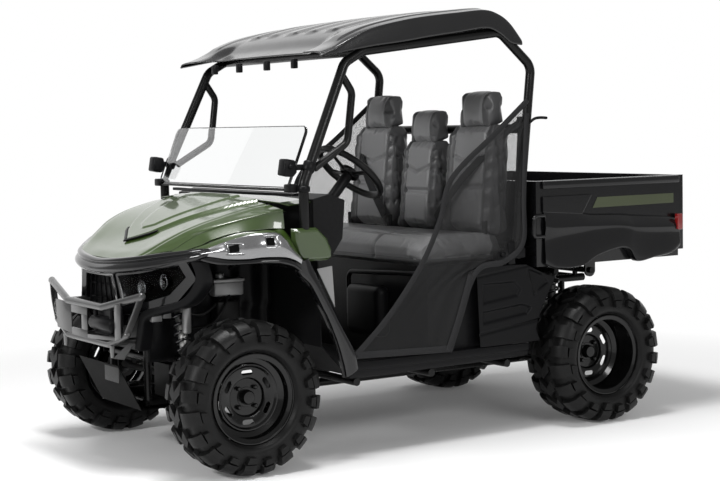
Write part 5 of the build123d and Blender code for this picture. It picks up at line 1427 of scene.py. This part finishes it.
# %% Nets
# y, z down the net's front and rear edges
FRONT_EDGE = [(0.480, 1.498), (0.300, 1.355), (0.057, 1.163), (-0.010, 0.985), (-0.110, 0.800),
              (-0.290, 0.585), (-0.470, 0.428)]
REAR_EDGE = [(0.474, 1.440), (0.462, 1.290), (0.448, 1.050), (0.440, 0.860), (0.330, 0.780), (0.170, 0.735),
             (0.031, 0.410)]
NET_X, NET_POINTS, NET_UV_SIZE = 0.6435, 60, (1.35, 0.55)


def net_grid(side):
    """Net between its front and rear hems: it sags a little inwards between them and ripples along them."""
    front, rear = line_through(FRONT_EDGE, NET_POINTS), line_through(REAR_EDGE, NET_POINTS)
    t, s = np.linspace(0, 1, NET_POINTS)[None, :], np.linspace(0, 1, NET_POINTS)[:, None]
    flat = front[:, None] * (1 - t[..., None]) + rear[:, None] * t[..., None]
    sag = (0.010 * np.sin(pi * t) + 0.004 * np.sin(9 * pi * t + 3 * s)) * np.sin(pi * s)
    return np.concatenate([side * (NET_X - sag)[..., None], flat], axis=-1)


def give_uv(piece, count, size):
    """UV map of a square grid: its two parameters times the size in metres."""
    corner = np.empty(len(piece.data.loops), int)
    piece.data.loops.foreach_get("vertex_index", corner)
    uv = np.stack([corner // count, corner % count], axis=1) / (count - 1) * size
    piece.data.uv_layers.new(name="UVMap").data.foreach_set("uv", uv.ravel())


for side, label in ((1, "left"), (-1, "right")):
    grid = net_grid(side)
    side_net = grid_object("side_net_" + label, grid if side > 0 else grid[:, ::-1])
    give_uv(side_net, NET_POINTS, NET_UV_SIZE)
    outwards = np.array([side, 0, 0])
    low_strap = line_through([(side * 0.646, 0.150, 0.735), (side * 0.647, 0.085, 0.560),
                              (side * 0.646, 0.020, 0.405)], 20)
    hems = [strap(grid[:, 0] + outwards * 0.001, 0.026, 0.003, outwards),
            strap(grid[:, -1] + outwards * 0.001, 0.026, 0.003, outwards),
            strap(grid[-1] + outwards * 0.001 + [0, 0, 0.006], 0.030, 0.003, outwards),
            strap(low_strap, 0.036, 0.004, outwards)]
    settle(side_net, net_mesh, node="side_nets")
    hem = settle(join(hems, "net_hems_" + label), webbing)

# %% Belts: one to each side seat, from the pillar over the shoulder and down to the buckle
belt_parts = []
BELT, BELT_WALL = 0.046, 0.0025
SHOULDER_LINE = [(0.600, 0.470, 1.400), (0.560, 0.400, 1.340), (0.500, 0.330, 1.245), (0.400, 0.293, 1.150),
                 (0.300, 0.276, 1.050), (0.215, 0.270, 0.960)]
DROP_LINE = [(0.604, 0.478, 1.390), (0.606, 0.462, 1.20), (0.606, 0.450, 0.95)]
for side in (1, -1):
    there = np.array([side, 1, 1])
    belt_parts += [strap(line_through(SHOULDER_LINE * there, 60), BELT, BELT_WALL, (0, -1, 0.25)),
                   strap(line_through(DROP_LINE * there, 20), BELT, BELT_WALL, (side, 0, 0)),
                   block((side * 0.600 - 0.016, 0.462, 1.375), (side * 0.600 + 0.010, 0.482, 1.425))]
    for x in (side * 0.205, side * 0.560):
        belt_parts.append(block((x - 0.014, 0.285, 0.900), (x + 0.014, 0.300, 0.962)))
settle(join(belt_parts, "seat_belts"), webbing)
print("belt parts:", len(belt_parts))

# %% [markdown]
# ## Stage, light and camera
# A pale seamless floor and large soft lamps show the black mouldings by their reflections. The camera has a
# long lens and stands about seven and a half metres off, a little above the hood.

# %% Stage
def pale_surface(name, colour):
    """Pale floor that keeps the shadow near the object and fades to plain white, to the eye, farther off."""
    material = bpy.data.materials.new(name)
    material.use_nodes = True
    material.node_tree.nodes.clear()
    make = Builder(material.node_tree)
    path = make.add("ShaderNodeLightPath").outputs
    seen = make.math("MAXIMUM", path["Is Camera Ray"], path["Is Glossy Ray"])
    seen = make.math("MAXIMUM", seen, path["Is Transmission Ray"])
    place = make.add("ShaderNodeTexCoord").outputs["Object"]
    distance = make.add("ShaderNodeVectorMath", {0: place}, operation="LENGTH").outputs["Value"]
    far = make.math("MULTIPLY", make.spread(distance, 1.9, 3.6), seen)
    glow = make.math("ADD", make.math("MULTIPLY", seen, 0.06), make.math("MULTIPLY", far, 0.94))
    near_colour = make.scaled(colour, make.math("SUBTRACT", 1.0, far))
    diffuse = make.add("ShaderNodeBsdfDiffuse", {"Color": near_colour})
    white = make.add("ShaderNodeEmission", {"Color": (1, 1, 1, 1), "Strength": glow})
    both = make.add("ShaderNodeAddShader", {0: diffuse.outputs[0], 1: white.outputs[0]})
    # from its back, where only a camera behind the backdrop can be, the surface is not there
    blend = make.add("ShaderNodeMixShader", {0: make.add("ShaderNodeNewGeometry").outputs["Backfacing"],
                                             1: both.outputs[0],
                                             2: make.add("ShaderNodeBsdfTransparent").outputs[0]})
    make.add("ShaderNodeOutputMaterial", {"Surface": blend.outputs[0]})
    return material


AZIMUTH, ELEVATION, ROLL = radians(57.19), radians(4.22), radians(-1.157)   # of the camera
BACK, RISE, REACH, WALL_TOP = 6.0, 2.5, 14.0, 9.0   # the floor bends up into a wall behind the vehicle
turn = np.linspace(0, pi / 2, 24)
bend = np.stack([BACK + RISE * np.sin(turn), RISE - RISE * np.cos(turn)], axis=1)
profile = np.concatenate([[(-REACH, 0.0)], bend, [(BACK + RISE, WALL_TOP)]])
sweep = np.stack(np.broadcast_arrays([[-REACH], [REACH]], profile[:, 0], profile[:, 1]), axis=-1)
away = np.array([[cos(AZIMUTH), -sin(AZIMUTH)], [sin(AZIMUTH), cos(AZIMUTH)]])
sweep[..., :2] = sweep[..., :2] @ away.T
backdrop = grid_object("backdrop", sweep)
backdrop.data.materials.append(pale_surface("pale_floor", (0.86, 0.86, 0.86)))
print("backdrop:", sweep.shape)

# %% World: white to the eye, plain grey as light and in reflections
world = bpy.data.worlds.new("studio")
bpy.context.scene.world = world
world.use_nodes = True
world.node_tree.nodes.clear()
make = Builder(world.node_tree)
path = make.add("ShaderNodeLightPath").outputs
seen = make.math("MAXIMUM", path["Is Camera Ray"], path["Is Transmission Ray"])
strength = make.math("ADD", 0.35, make.math("MULTIPLY", seen, 0.65))
background = make.add("ShaderNodeBackground", {"Color": (1, 1, 1, 1), "Strength": strength})
make.add("ShaderNodeOutputWorld", {"Surface": background.outputs[0]})


# %% Lamps
def soft_lamp(name, place, target, size, watts):
    """Area lamp aimed at a point."""
    lamp = bpy.data.lights.new(name, "AREA")
    lamp.shape = "RECTANGLE"
    lamp.size, lamp.size_y = size
    lamp.energy = watts
    holder = bpy.data.objects.new(name, lamp)
    bpy.context.scene.collection.objects.link(holder)
    holder.rotation_euler = (Vector(target) - Vector(place)).to_track_quat("-Z", "Y").to_euler()
    holder.location = place


soft_lamp("overhead", (0.4, -0.9, 5.0), (0, 0, 0.8), (2.6, 1.0), 230)
soft_lamp("front_fill", (1.6, -6.2, 3.6), (0, -0.6, 0.8), (1.4, 0.7), 150)
soft_lamp("side_fill", (6.8, 0.2, 3.4), (0, -0.2, 0.8), (3.4, 0.8), 120)
print("lamps:", len(bpy.data.lights))

# %% Camera
CAMERA_PLACE, LENS, SENSOR = (6.27192, -4.05708, 1.41211), 79.91, 36.0   # metres; then both in mm
camera = bpy.data.objects.new("camera", bpy.data.cameras.new("camera"))
bpy.context.scene.collection.objects.link(camera)
back = np.array([sin(AZIMUTH) * cos(ELEVATION), -cos(AZIMUTH) * cos(ELEVATION), sin(ELEVATION)])
level = np.array([cos(AZIMUTH), sin(AZIMUTH), 0.0])
upright = np.cross(back, level)
right = cos(ROLL) * level + sin(ROLL) * upright
upward = -sin(ROLL) * level + cos(ROLL) * upright
stand = np.eye(4)
stand[:3] = np.stack([right, upward, back, CAMERA_PLACE], axis=1)
camera.matrix_world = Matrix(stand.tolist())
camera.data.sensor_width = SENSOR
camera.data.lens = LENS
camera.data.clip_end = 60
bpy.context.scene.camera = camera
bpy.context.scene.view_settings.view_transform = "Standard"
print("camera at", CAMERA_PLACE, "lens", LENS)
